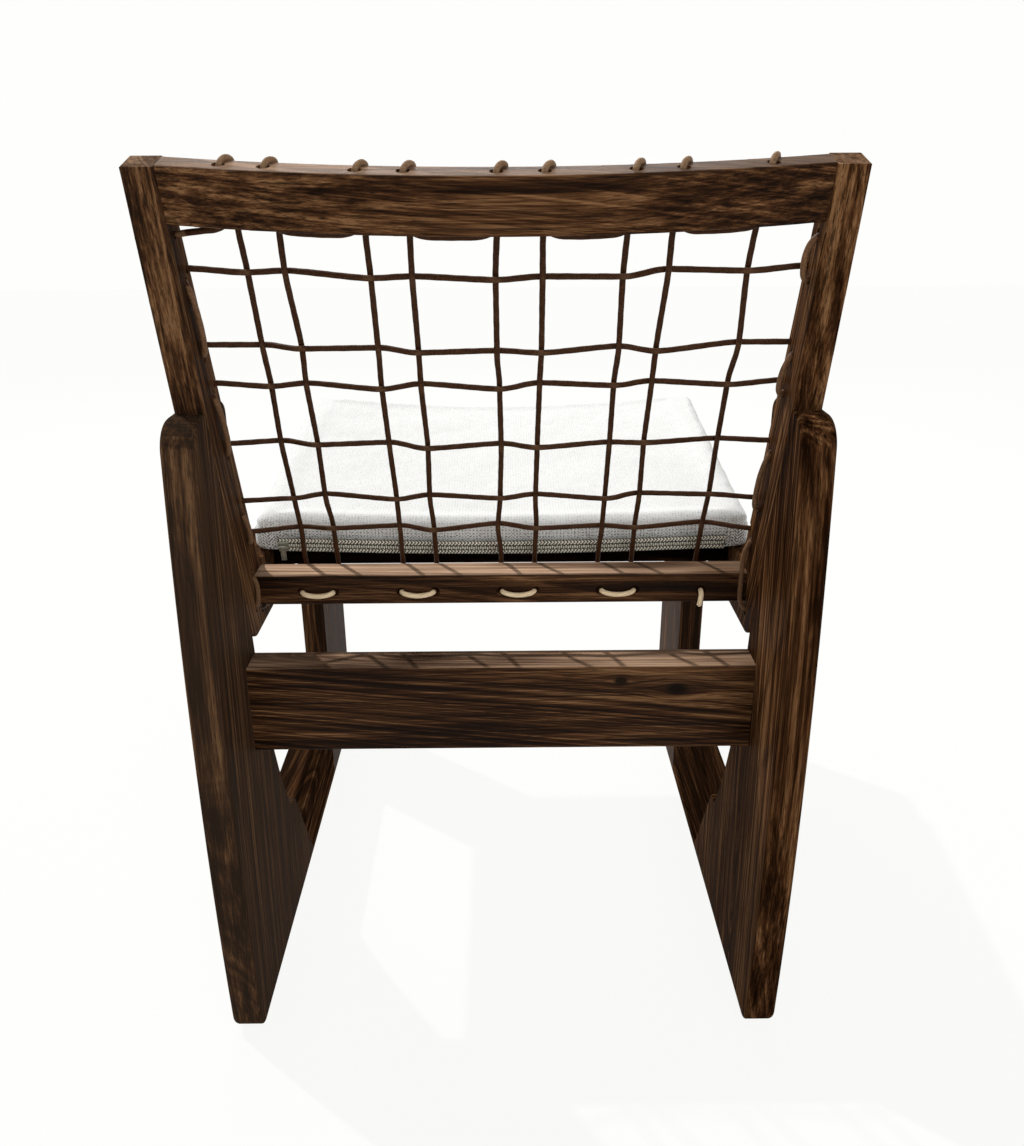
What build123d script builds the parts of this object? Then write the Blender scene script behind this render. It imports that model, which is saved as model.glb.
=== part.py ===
"""Lounge chair with two slab side panels, a reclined back frame laced with cord and a loose seat pad.

Millimetres, +Z up, the chair faces -Y and its left side is +X.  The origin is on the floor under
the middle of the chair.  Sizes along the side of the chair are given as distances in front of the
foot line, a vertical plane through the back of the rear feet, and as heights above the floor.
"""
import os
from math import asin, cos, hypot, radians, sin, sqrt, tan

from build123d import *

# ---------------------------------------------------------------- overall
chair_width = 500.0          # over the outer faces of the side panels
foot_line_y = 279.6          # Y of the foot line; everything else is measured forward from it
glide_height = 5.0
glide_diameter = 24.0
glide_stem_diameter = 5.0
glide_stem_length = 14.0

# ---------------------------------------------------------------- side panels
panel_thickness = 28.0
rear_bow_radius = 2900.0     # the rear edge of the panel is a long shallow arc
rear_bow_height = 175.0      # height of its rearmost point
rear_bow_reach = 3.5         # how far that point stands behind the foot line
rear_leg_top = 569.0
rear_leg_front = 110.0       # the front edge of the rear leg, where it is upright
rear_leg_bend = 416.0        # below this height the front edge curves forward
rear_leg_curve = 620.0
top_rear_round = 26.0
top_front_round = 12.0
foot_round = 14.0
sill_top = 121.0
sill_corner_round = 8.0
front_leg_rear = 432.0
front_leg_front = 573.0
front_leg_top_round = 10.0
sill_joint_step = 15.0       # the joints stand clear of the rounded corners of the opening
panel_outer_round = 6.0
panel_inner_round = 2.0

# ---------------------------------------------------------------- seat line and side rails
seat_rear = 183.0            # rear edge of the seat pad, in front of the foot line
seat_height = 405.0          # height of the seat line there
seat_rake = 6.0              # degrees, the seat rises to the front
side_rail_bottom = 347.0
side_rail_set_back = 15.0    # the side rails end this far behind the front of the front legs
knee_front = 200.0           # the stile's foot reaches forward under the seat as far as this
lap_depth = 14.0             # stiles and side rails are let this deep into the panels

# ---------------------------------------------------------------- back frame
stile_thickness = 23.0
stile_height = 748.4         # top front arris of the stiles
stile_seat_front = 162.5     # where the stile's front edge would meet the seat line
stile_front_angle = 20.55    # degrees, front edge from the vertical
stile_top_depth = 24.0
stile_top_angle = 16.7       # degrees, the top is cut square to the stile
stile_waist = 49.2           # level depth halfway up
stile_foot_rear = 116.5
stile_tip_round = 20.0
knee_round = 30.0
stile_edge_round = 1.5

top_rail_angle = 17.0        # degrees, the rail leans with the stiles
top_rail_height = 39.2
top_rail_thickness = 22.0
top_rail_set_back = 27.9     # its lower rear arris behind the front edge of the stiles
top_rail_set_down = 43.9     # its lower edge below the top of the stiles
top_rail_bow = 25.0          # the middle stands this far behind the ends
rail_edge_round = 2.5
tenon_length = 15.0
tenon_root = 8.0             # the top rail's tenons start this far inside the bowed rail
top_tenon_thickness = 12.0
top_tenon_height = 26.0

lower_rail_rear = 137.0
lower_rail_depth = 31.0
lower_rail_bottom = 373.5
lower_rail_height = 28.5
lower_tenon_thickness = 16.0
lower_tenon_height = 16.0

stretcher_rear = 80.0
stretcher_thickness = 34.0
stretcher_bottom = 255.5
stretcher_height = 82.5
stretcher_tenon_thickness = 16.0
stretcher_tenon_height = 58.0

seat_rail_thickness = 24.0   # the two rails across the seat, front and rear
seat_rail_drop = 6.0         # their tops lie this far below the seat line
seat_tenon_thickness = 10.0
front_rail_set_back = 23.0   # behind the front of the front legs
front_rail_height = 54.0
front_tenon_height = 34.0
front_tenon_length = 20.0
rear_rail_rear = 216.0
rear_rail_height = 22.0
rear_tenon_height = 14.0

# ---------------------------------------------------------------- dowels and glides
dowel_diameter = 8.0
dowel_length = 40.0
lap_dowel_length = 18.0
dowel_end_gap = 1.0
sill_dowel_low = 40.0
sill_dowel_high = 90.0
knee_dowel_low = 364.0
knee_dowel_high = 391.0
stile_dowel_drop = 24.0      # upper dowel of stile and rear leg, below the top of the leg
stile_dowel_set_in = 25.0    # and behind the stile's front edge
stile_dowel_rise = 46.0      # lower dowel above the bend of the rear leg
stile_dowel_back = 13.0      # and behind the front edge of the leg
rail_dowel_rise = 23.0       # dowels of side rail and front leg, above the rail's lower edge
rail_dowel_first = 38.0      # and in front of the leg's rear edge
rail_dowel_second = 73.0
glide_rear = 24.0
glide_front_set_back = 28.0

# ---------------------------------------------------------------- lacing
cord_diameter = 5.0
cord_hole = 6.0
hole_sink = 9.4              # diameter of the softened mouths of the rails' cord holes
cord_gap = 0.2               # between a cord and the face it lies on
cord_bend = 5.0              # smallest bend of the cord's centre line
weave_angle = 20.0           # steepest slope of a row between two uprights
cord_share = (0.815, 0.68, 0.41, 0.27, 0.0, -0.14, -0.405, -0.545, -0.815)  # of the half width
lower_hole_z = 385.5
lower_loop_sag = 4.0
under_loop_sag = 3.0
row_share = (0.901, 0.711, 0.608, 0.43, 0.245, 0.137)  # from the lower rail up to the top rail
row_dip = (6.5, 5.5, 3.0, 3.5, 0.0, 1.5)
row_hole_set_in = 7.0        # row holes behind the front edge of the stile
loop_hole_set_in = 16.0      # loop holes behind it
loop_hole_drop = 9.5         # and below the row hole
loop_stand_off = 6.0         # loops stand this far off the stile
hole_reach = 12.0            # depth at which a row's hole and a loop's hole meet
hole_overrun = 3.0           # the drill starts this far off the wood
start_hole_drop = 6.5        # first hole of the rows below the underside of the top rail
last_hole_drop = 7.9         # last hole of the uprights below it
last_hole_set_in = 12.4      # and behind the stile's front edge
rail_end_loop = 133.8        # where cord runs down behind the end of the lower rail
right_loop_bottom = 365.0
left_loop_top = 408.0
left_loop_bottom = 371.0
left_loop_step = 22.0        # the seat cord comes out again this far in front
cord_tail = 15.0             # loose end of the upright cord

seat_row_margin = 22.0       # from the seat's cross rails to the first and last row
seat_row_count = 7
seat_row_drop = 24.0         # rows of the seat lacing below the seat line
seat_hole_step = 7.0

# ---------------------------------------------------------------- seat pad and its zip
pad_overlap = 11.0           # the pad reaches this far over each side rail
pad_shift = -1.0             # the loose pad lies a little to one side
pad_front_set_back = 33.0    # behind the front of the front legs
pad_edge = 24.0              # height of the boxing band
pad_crown = 35.0             # height at the middle
pad_front_corner = 24.0
pad_rear_corner = 10.0
pad_bottom_round = 3.0
pad_clearance = 0.4
zip_margin = 24.0            # from the end of the pad to the end of the zip
zip_height = 10.0            # middle of the zip above the pad's underside
zip_tape_width = 15.0
zip_tape_thickness = 1.0
zip_tooth_width = 5.0
zip_tooth_height = 1.6
slider_length = 9.0
slider_thickness = 3.6
slider_width = 8.0
slider_play = 0.3            # play of the slider on the teeth and of the pull on its bail
slider_inset = 5.5           # the closed slider's middle from the end of the zip
bail_wire = 1.5
pull_barrel = 3.8
pull_length = 12.5
pull_width = 4.8
pull_thickness = 1.4

# ---------------------------------------------------------------- derived
outer_x = chair_width / 2
inner_x = outer_x - panel_thickness
stile_outer_x = inner_x + stile_thickness
lap_x = inner_x + lap_depth
cord_off = cord_diameter / 2 + cord_gap
row_step = (cord_diameter + cord_gap) / cos(radians(weave_angle))
side_rail_end = front_leg_front - side_rail_set_back
front_rail_rear = front_leg_front - front_rail_set_back - seat_rail_thickness
rear_rail_front = rear_rail_rear + seat_rail_thickness
lower_rail_front = lower_rail_rear + lower_rail_depth
lower_rail_top = lower_rail_bottom + lower_rail_height
top_rail_bottom = stile_height - top_rail_set_down
cord_x = [share * inner_x for share in cord_share]
row_z = [lower_rail_top + share * (top_rail_bottom - lower_rail_top) for share in row_share]
start_hole_z = top_rail_bottom - start_hole_drop
last_hole_z = top_rail_bottom - last_hole_drop
seat_row_first = rear_rail_front + seat_row_margin
seat_row_pitch = (front_rail_rear - seat_row_margin - seat_row_first) / (seat_row_count - 1)
pad_width = 2 * (inner_x + pad_overlap)
pad_depth = (front_leg_front - pad_front_set_back - seat_rear) / cos(radians(seat_rake))
zip_length = pad_width - 2 * zip_margin


def fwd(distance):
    """Y of a point this far in front of the foot line."""
    return foot_line_y - distance


def seat_z(distance):
    """Height of the seat line at a distance in front of the foot line."""
    return seat_height + (distance - seat_rear) * tan(radians(seat_rake))


def rear_edge(z):
    """Distance of the panel's bowed rear edge in front of the foot line at height z."""
    return rear_bow_radius - sqrt(rear_bow_radius**2 - (z - rear_bow_height) ** 2) - rear_bow_reach


def leg_edge(z):
    """Distance of the rear leg's curved front edge in front of the foot line at height z."""
    drop = rear_leg_bend - z
    return rear_leg_front + rear_leg_curve - sqrt(rear_leg_curve**2 - drop**2)


def stile_front(z):
    """Distance of the stile's straight front edge in front of the foot line at height z."""
    rise = z - seat_z(stile_seat_front)
    return stile_seat_front - rise * tan(radians(stile_front_angle))


def side(distance, z):
    """A corner of a side profile."""
    return (fwd(distance), z)


def near(sketch, point):
    """The vertex of a side profile that lies at a point."""
    return sketch.vertices().sort_by_distance(Vector(*point))[0]


stile_middle_z = (side_rail_bottom + stile_height) / 2
stile_top_front = stile_front(stile_height)
top_rail_rear = stile_front(top_rail_bottom) - top_rail_set_back

# ---------------------------------------------------------------- side profiles
with BuildSketch(Plane.YZ) as panel_profile:
    foot_rear = side(rear_edge(glide_height), glide_height)
    top_rear = side(rear_edge(rear_leg_top), rear_leg_top)
    top_front = side(rear_leg_front, rear_leg_top)
    bend = side(rear_leg_front, rear_leg_bend)
    corner = side(leg_edge(sill_top), sill_top)
    leg_corner = side(front_leg_rear, sill_top)
    leg_top_rear = side(front_leg_rear, seat_z(front_leg_rear))
    leg_top_front = side(front_leg_front, seat_z(front_leg_front))
    foot_front = side(front_leg_front, glide_height)
    middle_z = (glide_height + rear_leg_top) / 2
    curve_z = (rear_leg_bend + sill_top) / 2
    with BuildLine():
        ThreePointArc(foot_rear, side(rear_edge(middle_z), middle_z), top_rear)
        Polyline(top_rear, top_front, bend)
        ThreePointArc(bend, side(leg_edge(curve_z), curve_z), corner)
        Polyline(corner, leg_corner, leg_top_rear, leg_top_front, foot_front, foot_rear)
    make_face()
    fillet([near(panel_profile, foot_rear), near(panel_profile, foot_front)], foot_round)
    fillet(near(panel_profile, top_rear), top_rear_round)
    fillet(near(panel_profile, top_front), top_front_round)
    fillet([near(panel_profile, corner), near(panel_profile, leg_corner)], sill_corner_round)
    fillet(near(panel_profile, leg_top_front), front_leg_top_round)

with BuildSketch(Plane.YZ) as stile_profile:
    top_rear_corner = side(
        stile_top_front - stile_top_depth * cos(radians(stile_top_angle)),
        stile_height - stile_top_depth * sin(radians(stile_top_angle)),
    )
    top_front_corner = side(stile_top_front, stile_height)
    rear_middle = side(stile_front(stile_middle_z) - stile_waist, stile_middle_z)
    knee_corner = side(stile_seat_front, seat_z(stile_seat_front))
    tip = side(stile_foot_rear, side_rail_bottom)
    with BuildLine():
        ThreePointArc(top_rear_corner, rear_middle, tip)
        Polyline(
            tip,
            side(knee_front, side_rail_bottom),
            side(knee_front, seat_z(knee_front)),
            knee_corner,
            top_front_corner,
            top_rear_corner,
        )
    make_face()
    fillet(near(stile_profile, knee_corner), knee_round)
    fillet(near(stile_profile, tip), stile_tip_round)

with BuildSketch(Plane.YZ) as side_rail_profile:
    with BuildLine():
        Polyline(
            side(knee_front, side_rail_bottom),
            side(side_rail_end, side_rail_bottom),
            side(side_rail_end, seat_z(side_rail_end)),
            side(knee_front, seat_z(knee_front)),
            close=True,
        )
    make_face()

# the boards of a panel are parted along these lines
sill_rear_top = leg_edge(sill_top) + sill_joint_step
sill_rear_slope = tan(asin((rear_leg_bend - sill_top) / rear_leg_curve))
sill_front = front_leg_rear - sill_joint_step
cut_margin = 20.0
cut_top = sill_top + cut_margin
cut_bottom = glide_height - cut_margin


def sill_rear(z):
    """Distance of the slanting joint between rear leg and sill at height z."""
    return sill_rear_top + sill_rear_slope * (sill_top - z)


with BuildSketch(Plane.YZ) as sill_region:
    with BuildLine():
        Polyline(
            side(sill_rear(cut_top), cut_top),
            side(sill_front, cut_top),
            side(sill_front, cut_bottom),
            side(sill_rear(cut_bottom), cut_bottom),
            close=True,
        )
    make_face()

with BuildSketch(Plane.YZ) as rear_region:
    with BuildLine():
        Polyline(
            side(sill_rear(cut_top), cut_top),
            side(sill_rear(cut_bottom), cut_bottom),
            side(-cut_margin, cut_bottom),
            side(-cut_margin, rear_leg_top + cut_margin),
            side(sill_rear(cut_top), rear_leg_top + cut_margin),
            close=True,
        )
    make_face()

with BuildSketch(Plane.YZ) as front_region:
    with BuildLine():
        Polyline(
            side(sill_front, cut_bottom),
            side(front_leg_front + cut_margin, cut_bottom),
            side(front_leg_front + cut_margin, rear_leg_top),
            side(sill_front, rear_leg_top),
            close=True,
        )
    make_face()


# ---------------------------------------------------------------- lacing routes
def bend_radius(before, corner_point, after):
    """Radius of the bend at a corner of a cord: the cord's own bend, or less in a tight place."""
    first = corner_point - before
    second = after - corner_point
    half_turn = radians(first.get_angle(second)) / 2
    return min(cord_bend, 0.45 * min(first.length, second.length) / tan(half_turn))


def cord_radii(points):
    """The bend radius at each inner point of a route."""
    route = [Vector(*p) for p in points]
    return [bend_radius(*route[i - 1 : i + 2]) for i in range(1, len(route) - 1)]


rail_lean = Plane(
    origin=(0, fwd(top_rail_rear), top_rail_bottom),
    x_dir=(1, 0, 0),
    z_dir=(0, sin(radians(top_rail_angle)), cos(radians(top_rail_angle))),
)
bow_radius = (inner_x**2 + top_rail_bow**2) / (2 * top_rail_bow)


def rail_bow(x):
    """How far the top rail stands behind its ends at a distance x from the middle."""
    return top_rail_bow - bow_radius + sqrt(bow_radius**2 - x**2)


def on_rail(x, depth, height):
    """A point at a depth behind the top rail's front face and a height above its lower edge."""
    point = rail_lean.from_local_coords((x, rail_bow(x) - top_rail_thickness + depth, height))
    return (point.X, point.Y, point.Z)


def upright_top(x):
    """Where an upright cord turns over the top front arris of the top rail."""
    return on_rail(x, -cord_off, top_rail_height + cord_off)


upright_foot = (lower_rail_front + cord_off, lower_rail_top + cord_gap)
behind_rail = lower_rail_rear - cord_off


def over_top(x):
    """Cord from the hole's lower mouth up through the top rail and over its front arris."""
    middle = top_rail_thickness / 2
    return [
        on_rail(x, middle, -cord_off),
        on_rail(x, middle, top_rail_height + cord_off),
        upright_top(x),
    ]


def through_lower(x):
    """Cord down the front of the lower rail and back through its hole."""
    return [
        (x, fwd(upright_foot[0]), upright_foot[1]),
        (x, fwd(upright_foot[0]), lower_hole_z),
        (x, fwd(behind_rail), lower_hole_z),
    ]


def upright_route():
    """One cord: a loose end, then up and down nine times through both rails into the left stile."""
    last = len(cord_x) - 1
    points = [(cord_x[last], fwd(behind_rail), lower_hole_z - cord_tail)]
    going_up = True
    for k in range(last, -1, -1):
        x = cord_x[k]
        rise = through_lower(x)[::-1] + over_top(x)[::-1]
        points += rise if going_up else rise[::-1]
        if k > 0:
            middle_x = (x + cord_x[k - 1]) / 2
            if going_up:
                low = -cord_off - under_loop_sag
                points.append(on_rail(middle_x, top_rail_thickness / 2, low))
            else:
                points.append((middle_x, fwd(behind_rail), lower_hole_z - lower_loop_sag))
        going_up = not going_up
    last_hole = stile_front(last_hole_z) - last_hole_set_in
    points.append((inner_x + hole_reach, fwd(last_hole), last_hole_z))
    return points


def inside(distance, z, hand):
    """The inner end of a hole in the stile or rail of one side; hand is 1 left and -1 right."""
    return (hand * (inner_x + hole_reach), fwd(distance), z)


def off_face(deep, distance, z, hand):
    """Where a cord drawn out of a slanting hole, whose mouth is given, turns along the face."""
    share = 1 + loop_stand_off / hole_reach
    mouth = (hand * inner_x, fwd(distance), z)
    return tuple(deep[i] + share * (mouth[i] - deep[i]) for i in range(3))


def stitch(z, hand):
    """A row's turn in a stile: the inner end of its hole and the corner of the loop that follows."""
    deep = inside(stile_front(z) - row_hole_set_in, z, hand)
    low = z - loop_hole_drop
    return deep, off_face(deep, stile_front(low) - loop_hole_set_in, low, hand)


def row_crossings(row):
    """Points where a row bends round the uprights, which it passes on alternate sides."""
    points = []
    for k, x in enumerate(cord_x):
        z = row_z[row] - row_dip[row] * (1 - (x / inner_x) ** 2)
        top = upright_top(x)
        slope_y = top[1] - fwd(upright_foot[0])
        slope_z = top[2] - upright_foot[1]
        length = hypot(slope_y, slope_z)
        step = row_step if (row + k) % 2 == 0 else -row_step
        y = fwd(upright_foot[0]) + (z - upright_foot[1]) / slope_z * slope_y
        points.append((x, y + step * slope_z / length, z - step * slope_y / length))
    return points


def cross_route():
    """One cord: six rows woven through the uprights, joined by loops on the stiles."""
    hand = -1
    start = inside(stile_front(start_hole_z) - loop_hole_set_in, start_hole_z, hand)
    deep, corner_point = stitch(row_z[0], hand)
    points = [start, (hand * (inner_x - loop_stand_off), start[1], start[2]), corner_point, deep]
    for row, z in enumerate(row_z):
        crossings = row_crossings(row)
        points += crossings[::-1] if hand < 0 else crossings
        hand = -hand
        deep, corner_point = stitch(z, hand)
        points += [deep, corner_point]
        if row + 1 < len(row_z):
            deep, corner_point = stitch(row_z[row + 1], hand)
            points += [corner_point, deep]
    face_x = hand * (inner_x - loop_stand_off)
    points += [
        (face_x, fwd(rail_end_loop), lower_rail_top),
        (face_x, fwd(rail_end_loop), right_loop_bottom),
        inside(rail_end_loop, right_loop_bottom, hand),
    ]
    return points


def seat_stitch(index, hand, way):
    """A seat row's turn in a side rail; way is -1 for the loop behind it and 1 for the one before."""
    distance = seat_row_first + index * seat_row_pitch
    z = seat_z(distance) - seat_row_drop
    deep = inside(distance, z, hand)
    return deep, off_face(deep, distance + way * seat_hole_step, z - loop_hole_drop, hand)


def seat_route():
    """One cord: a loop behind the lower rail's left end, then rows to and fro under the pad."""
    hand = 1
    face_x = hand * (inner_x - loop_stand_off)
    points = [
        inside(rail_end_loop, left_loop_top, hand),
        (face_x, fwd(rail_end_loop), left_loop_top),
        (face_x, fwd(rail_end_loop), left_loop_bottom),
    ]
    deep = inside(rail_end_loop, left_loop_bottom, hand)
    out = rail_end_loop + left_loop_step
    points += [deep, off_face(deep, out, left_loop_bottom - loop_hole_drop, hand)]
    for index in range(seat_row_count):
        deep, corner_point = seat_stitch(index, hand, -1)
        points += [corner_point, deep]
        hand = -hand
        deep, corner_point = seat_stitch(index, hand, 1)
        points.append(deep)
        if index + 1 < seat_row_count:
            points.append(corner_point)
    return points


upright_points = upright_route()
cross_points = cross_route()
seat_points = seat_route()


def start_plane(points):
    """The plane square across the start of a route."""
    first = Vector(*points[0])
    return Plane(origin=first, z_dir=Vector(*points[1]) - first)


def at_mouth(deep, outer):
    """The point of a run at which the drill starts, a little off the wood."""
    mouth_x = (inner_x - hole_overrun) * (1 if deep.X > 0 else -1)
    return deep + (outer - deep) * ((mouth_x - deep.X) / (outer.X - deep.X))


def drill_cord_holes(points, hand):
    """Drill every hole a route makes in the stile and rail of one side."""
    route = [Vector(*p) for p in points]
    for i, deep in enumerate(route):
        if hand * deep.X < inner_x:
            continue
        if 0 < i < len(route) - 1:
            line = [at_mouth(deep, route[i - 1]), deep, at_mouth(deep, route[i + 1])]
            radius = bend_radius(route[i - 1], deep, route[i + 1])
            with BuildLine() as bore:
                FilletPolyline(*line, radius=radius)
        else:
            outer = route[1] if i == 0 else route[-2]
            line = [deep + (deep - outer).normalized() * dowel_end_gap, at_mouth(deep, outer)]
            with BuildLine() as bore:
                Line(*line)
        with BuildSketch(Plane(origin=line[0], z_dir=line[1] - line[0])) as bore_section:
            Circle(cord_hole / 2)
        sweep(bore_section.sketch, path=bore.line, mode=Mode.SUBTRACT)


def slab(profile, start, depth, mode=Mode.ADD):
    """A side profile made solid, from x = start outward."""
    extrude(Pos(start, 0, 0) * profile.sketch, amount=depth, mode=mode)


def block(x, y, z, mode=Mode.ADD):
    """A box between the given pairs of limits."""
    middle = ((x[0] + x[1]) / 2, (y[0] + y[1]) / 2, (z[0] + z[1]) / 2)
    with Locations(middle):
        Box(abs(x[1] - x[0]), abs(y[1] - y[0]), abs(z[1] - z[0]), mode=mode)


def pins(places, diameter, length, rotation, mode=Mode.ADD):
    """Round pins or their holes, centred at the places."""
    with Locations(*places):
        Cylinder(diameter / 2, length, rotation=rotation, mode=mode)


along_x = (0, 90, 0)
along_y = (90, 0, 0)

# ---------------------------------------------------------------- places of dowels and glides
panel_middle_x = inner_x + panel_thickness / 2
stile_middle_x = inner_x + stile_thickness / 2
sill_dowel_heights = (sill_dowel_low, sill_dowel_high)
sill_dowels = [(panel_middle_x, fwd(sill_rear(z)), z) for z in sill_dowel_heights]
sill_dowels += [(panel_middle_x, fwd(sill_front), z) for z in sill_dowel_heights]
knee_dowels = [
    (stile_middle_x, fwd(knee_front), knee_dowel_low),
    (stile_middle_x, fwd(knee_front), knee_dowel_high),
]
upper_dowel_z = rear_leg_top - stile_dowel_drop
stile_dowels = [
    (lap_x, fwd(stile_front(upper_dowel_z) - stile_dowel_set_in), upper_dowel_z),
    (lap_x, fwd(rear_leg_front - stile_dowel_back), rear_leg_bend + stile_dowel_rise),
]
rail_dowel_z = side_rail_bottom + rail_dowel_rise
rail_dowels = [
    (lap_x, fwd(front_leg_rear + rail_dowel_first), rail_dowel_z),
    (lap_x, fwd(front_leg_rear + rail_dowel_second), rail_dowel_z),
]
glide_front = front_leg_front - glide_front_set_back
dowel_hole_length = dowel_length + 2 * dowel_end_gap
lap_hole_length = lap_dowel_length + 2 * dowel_end_gap


def glide_socket(distance):
    """Hole for a glide's stem in the foot of a leg."""
    deep = glide_stem_length + dowel_end_gap
    with Locations((panel_middle_x, fwd(distance), glide_height + deep / 2)):
        Cylinder(glide_stem_diameter / 2, deep, mode=Mode.SUBTRACT)


# ---------------------------------------------------------------- tenons and their mortises
front_rail_middle = front_rail_rear + seat_rail_thickness / 2
front_rail_top = seat_z(front_rail_middle) - seat_rail_drop
rear_rail_middle = rear_rail_rear + seat_rail_thickness / 2
rear_rail_top = seat_z(rear_rail_middle) - seat_rail_drop


def tenon_box(distance, height, thickness, depth, reach, mode):
    """A tenon through both ends of a rail, or its mortises, centred at a distance and height."""
    with Locations((0, fwd(distance), height)):
        Box(2 * (inner_x + reach), thickness, depth, mode=mode)


def stretcher_joint(mode=Mode.ADD, gap=0.0):
    middle = stretcher_rear + stretcher_thickness / 2
    middle_z = stretcher_bottom + stretcher_height / 2
    reach = tenon_length + gap
    tenon_box(middle, middle_z, stretcher_tenon_thickness, stretcher_tenon_height, reach, mode)


def lower_rail_joint(mode=Mode.ADD, gap=0.0):
    middle = lower_rail_rear + lower_rail_depth / 2
    middle_z = lower_rail_bottom + lower_rail_height / 2
    reach = tenon_length + gap
    tenon_box(middle, middle_z, lower_tenon_thickness, lower_tenon_height, reach, mode)


def front_rail_joint(mode=Mode.ADD, gap=0.0):
    middle_z = front_rail_top - front_rail_height / 2
    reach = front_tenon_length + gap
    tenon_box(front_rail_middle, middle_z, seat_tenon_thickness, front_tenon_height, reach, mode)


def rear_rail_joint(mode=Mode.ADD, gap=0.0):
    middle_z = rear_rail_top - rear_rail_height / 2
    reach = tenon_length + gap
    tenon_box(rear_rail_middle, middle_z, seat_tenon_thickness, rear_tenon_height, reach, mode)


def top_rail_joint(mode=Mode.ADD, gap=0.0):
    length = tenon_root + tenon_length + gap
    for hand in (-1, 1):
        x = hand * (inner_x - tenon_root + length / 2)
        with Locations(rail_lean * Pos(x, -top_rail_thickness / 2, top_rail_height / 2)):
            Box(length, top_tenon_thickness, top_tenon_height, mode=mode)


# ---------------------------------------------------------------- side panels, board by board
with BuildPart() as panel_blank:
    slab(panel_profile, inner_x, panel_thickness)
    fillet(panel_blank.faces().sort_by(Axis.X)[-1].edges(), panel_outer_round)
    fillet(panel_blank.faces().sort_by(Axis.X)[0].edges(), panel_inner_round)

with BuildPart() as rear_leg_left:
    add(panel_blank.part)
    slab(rear_region, inner_x - 1, panel_thickness + 2, Mode.INTERSECT)
    slab(stile_profile, inner_x, lap_depth, Mode.SUBTRACT)
    stretcher_joint(Mode.SUBTRACT, dowel_end_gap)
    pins(sill_dowels[:2], dowel_diameter, dowel_hole_length, along_y, Mode.SUBTRACT)
    pins(stile_dowels, dowel_diameter, lap_hole_length, along_x, Mode.SUBTRACT)
    glide_socket(glide_rear)

with BuildPart() as sill_left:
    add(panel_blank.part)
    slab(sill_region, inner_x - 1, panel_thickness + 2, Mode.INTERSECT)
    pins(sill_dowels, dowel_diameter, dowel_hole_length, along_y, Mode.SUBTRACT)

with BuildPart() as front_leg_left:
    add(panel_blank.part)
    slab(front_region, inner_x - 1, panel_thickness + 2, Mode.INTERSECT)
    slab(side_rail_profile, inner_x, lap_depth, Mode.SUBTRACT)
    front_rail_joint(Mode.SUBTRACT, dowel_end_gap)
    pins(sill_dowels[2:], dowel_diameter, dowel_hole_length, along_y, Mode.SUBTRACT)
    pins(rail_dowels, dowel_diameter, lap_hole_length, along_x, Mode.SUBTRACT)
    glide_socket(glide_front)

with BuildPart() as rear_leg_right:
    mirror(rear_leg_left.part, about=Plane.YZ)

with BuildPart() as sill_right:
    mirror(sill_left.part, about=Plane.YZ)

with BuildPart() as front_leg_right:
    mirror(front_leg_left.part, about=Plane.YZ)

# ---------------------------------------------------------------- stiles and side rails
with BuildPart() as stile_blank:
    slab(stile_profile, inner_x, stile_thickness)
    long_faces = [stile_blank.faces().sort_by(Axis.X)[i] for i in (0, -1)]
    knee_y = fwd(knee_front)
    arrises = [e for f in long_faces for e in f.edges() if abs(e.center().Y - knee_y) > 0.1]
    fillet(arrises, stile_edge_round)
    slab(panel_profile, lap_x, stile_thickness, Mode.SUBTRACT)
    top_rail_joint(Mode.SUBTRACT, dowel_end_gap)
    lower_rail_joint(Mode.SUBTRACT, dowel_end_gap)
    pins(knee_dowels, dowel_diameter, dowel_hole_length, along_y, Mode.SUBTRACT)
    pins(stile_dowels, dowel_diameter, lap_hole_length, along_x, Mode.SUBTRACT)

with BuildPart() as back_stile_left:
    add(stile_blank.part)
    drill_cord_holes(upright_points, 1)
    drill_cord_holes(cross_points, 1)
    drill_cord_holes(seat_points, 1)

with BuildPart() as back_stile_right:
    mirror(stile_blank.part, about=Plane.YZ)
    drill_cord_holes(cross_points, -1)

with BuildPart() as side_rail_blank:
    slab(side_rail_profile, inner_x, stile_thickness)
    ends = (fwd(knee_front), fwd(side_rail_end))
    long_faces = [side_rail_blank.faces().sort_by(Axis.X)[i] for i in (0, -1)]
    edges = [e for f in long_faces for e in f.edges()]
    arrises = [e for e in edges if min(abs(e.center().Y - y) for y in ends) > 0.1]
    fillet(arrises, stile_edge_round)
    slab(panel_profile, lap_x, stile_thickness, Mode.SUBTRACT)
    front_rail_joint(Mode.SUBTRACT, dowel_end_gap)
    rear_rail_joint(Mode.SUBTRACT, dowel_end_gap)
    pins(knee_dowels, dowel_diameter, dowel_hole_length, along_y, Mode.SUBTRACT)
    pins(rail_dowels, dowel_diameter, lap_hole_length, along_x, Mode.SUBTRACT)

with BuildPart() as seat_side_rail_left:
    add(side_rail_blank.part)
    drill_cord_holes(seat_points, 1)

with BuildPart() as seat_side_rail_right:
    mirror(side_rail_blank.part, about=Plane.YZ)
    drill_cord_holes(seat_points, -1)

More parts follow.
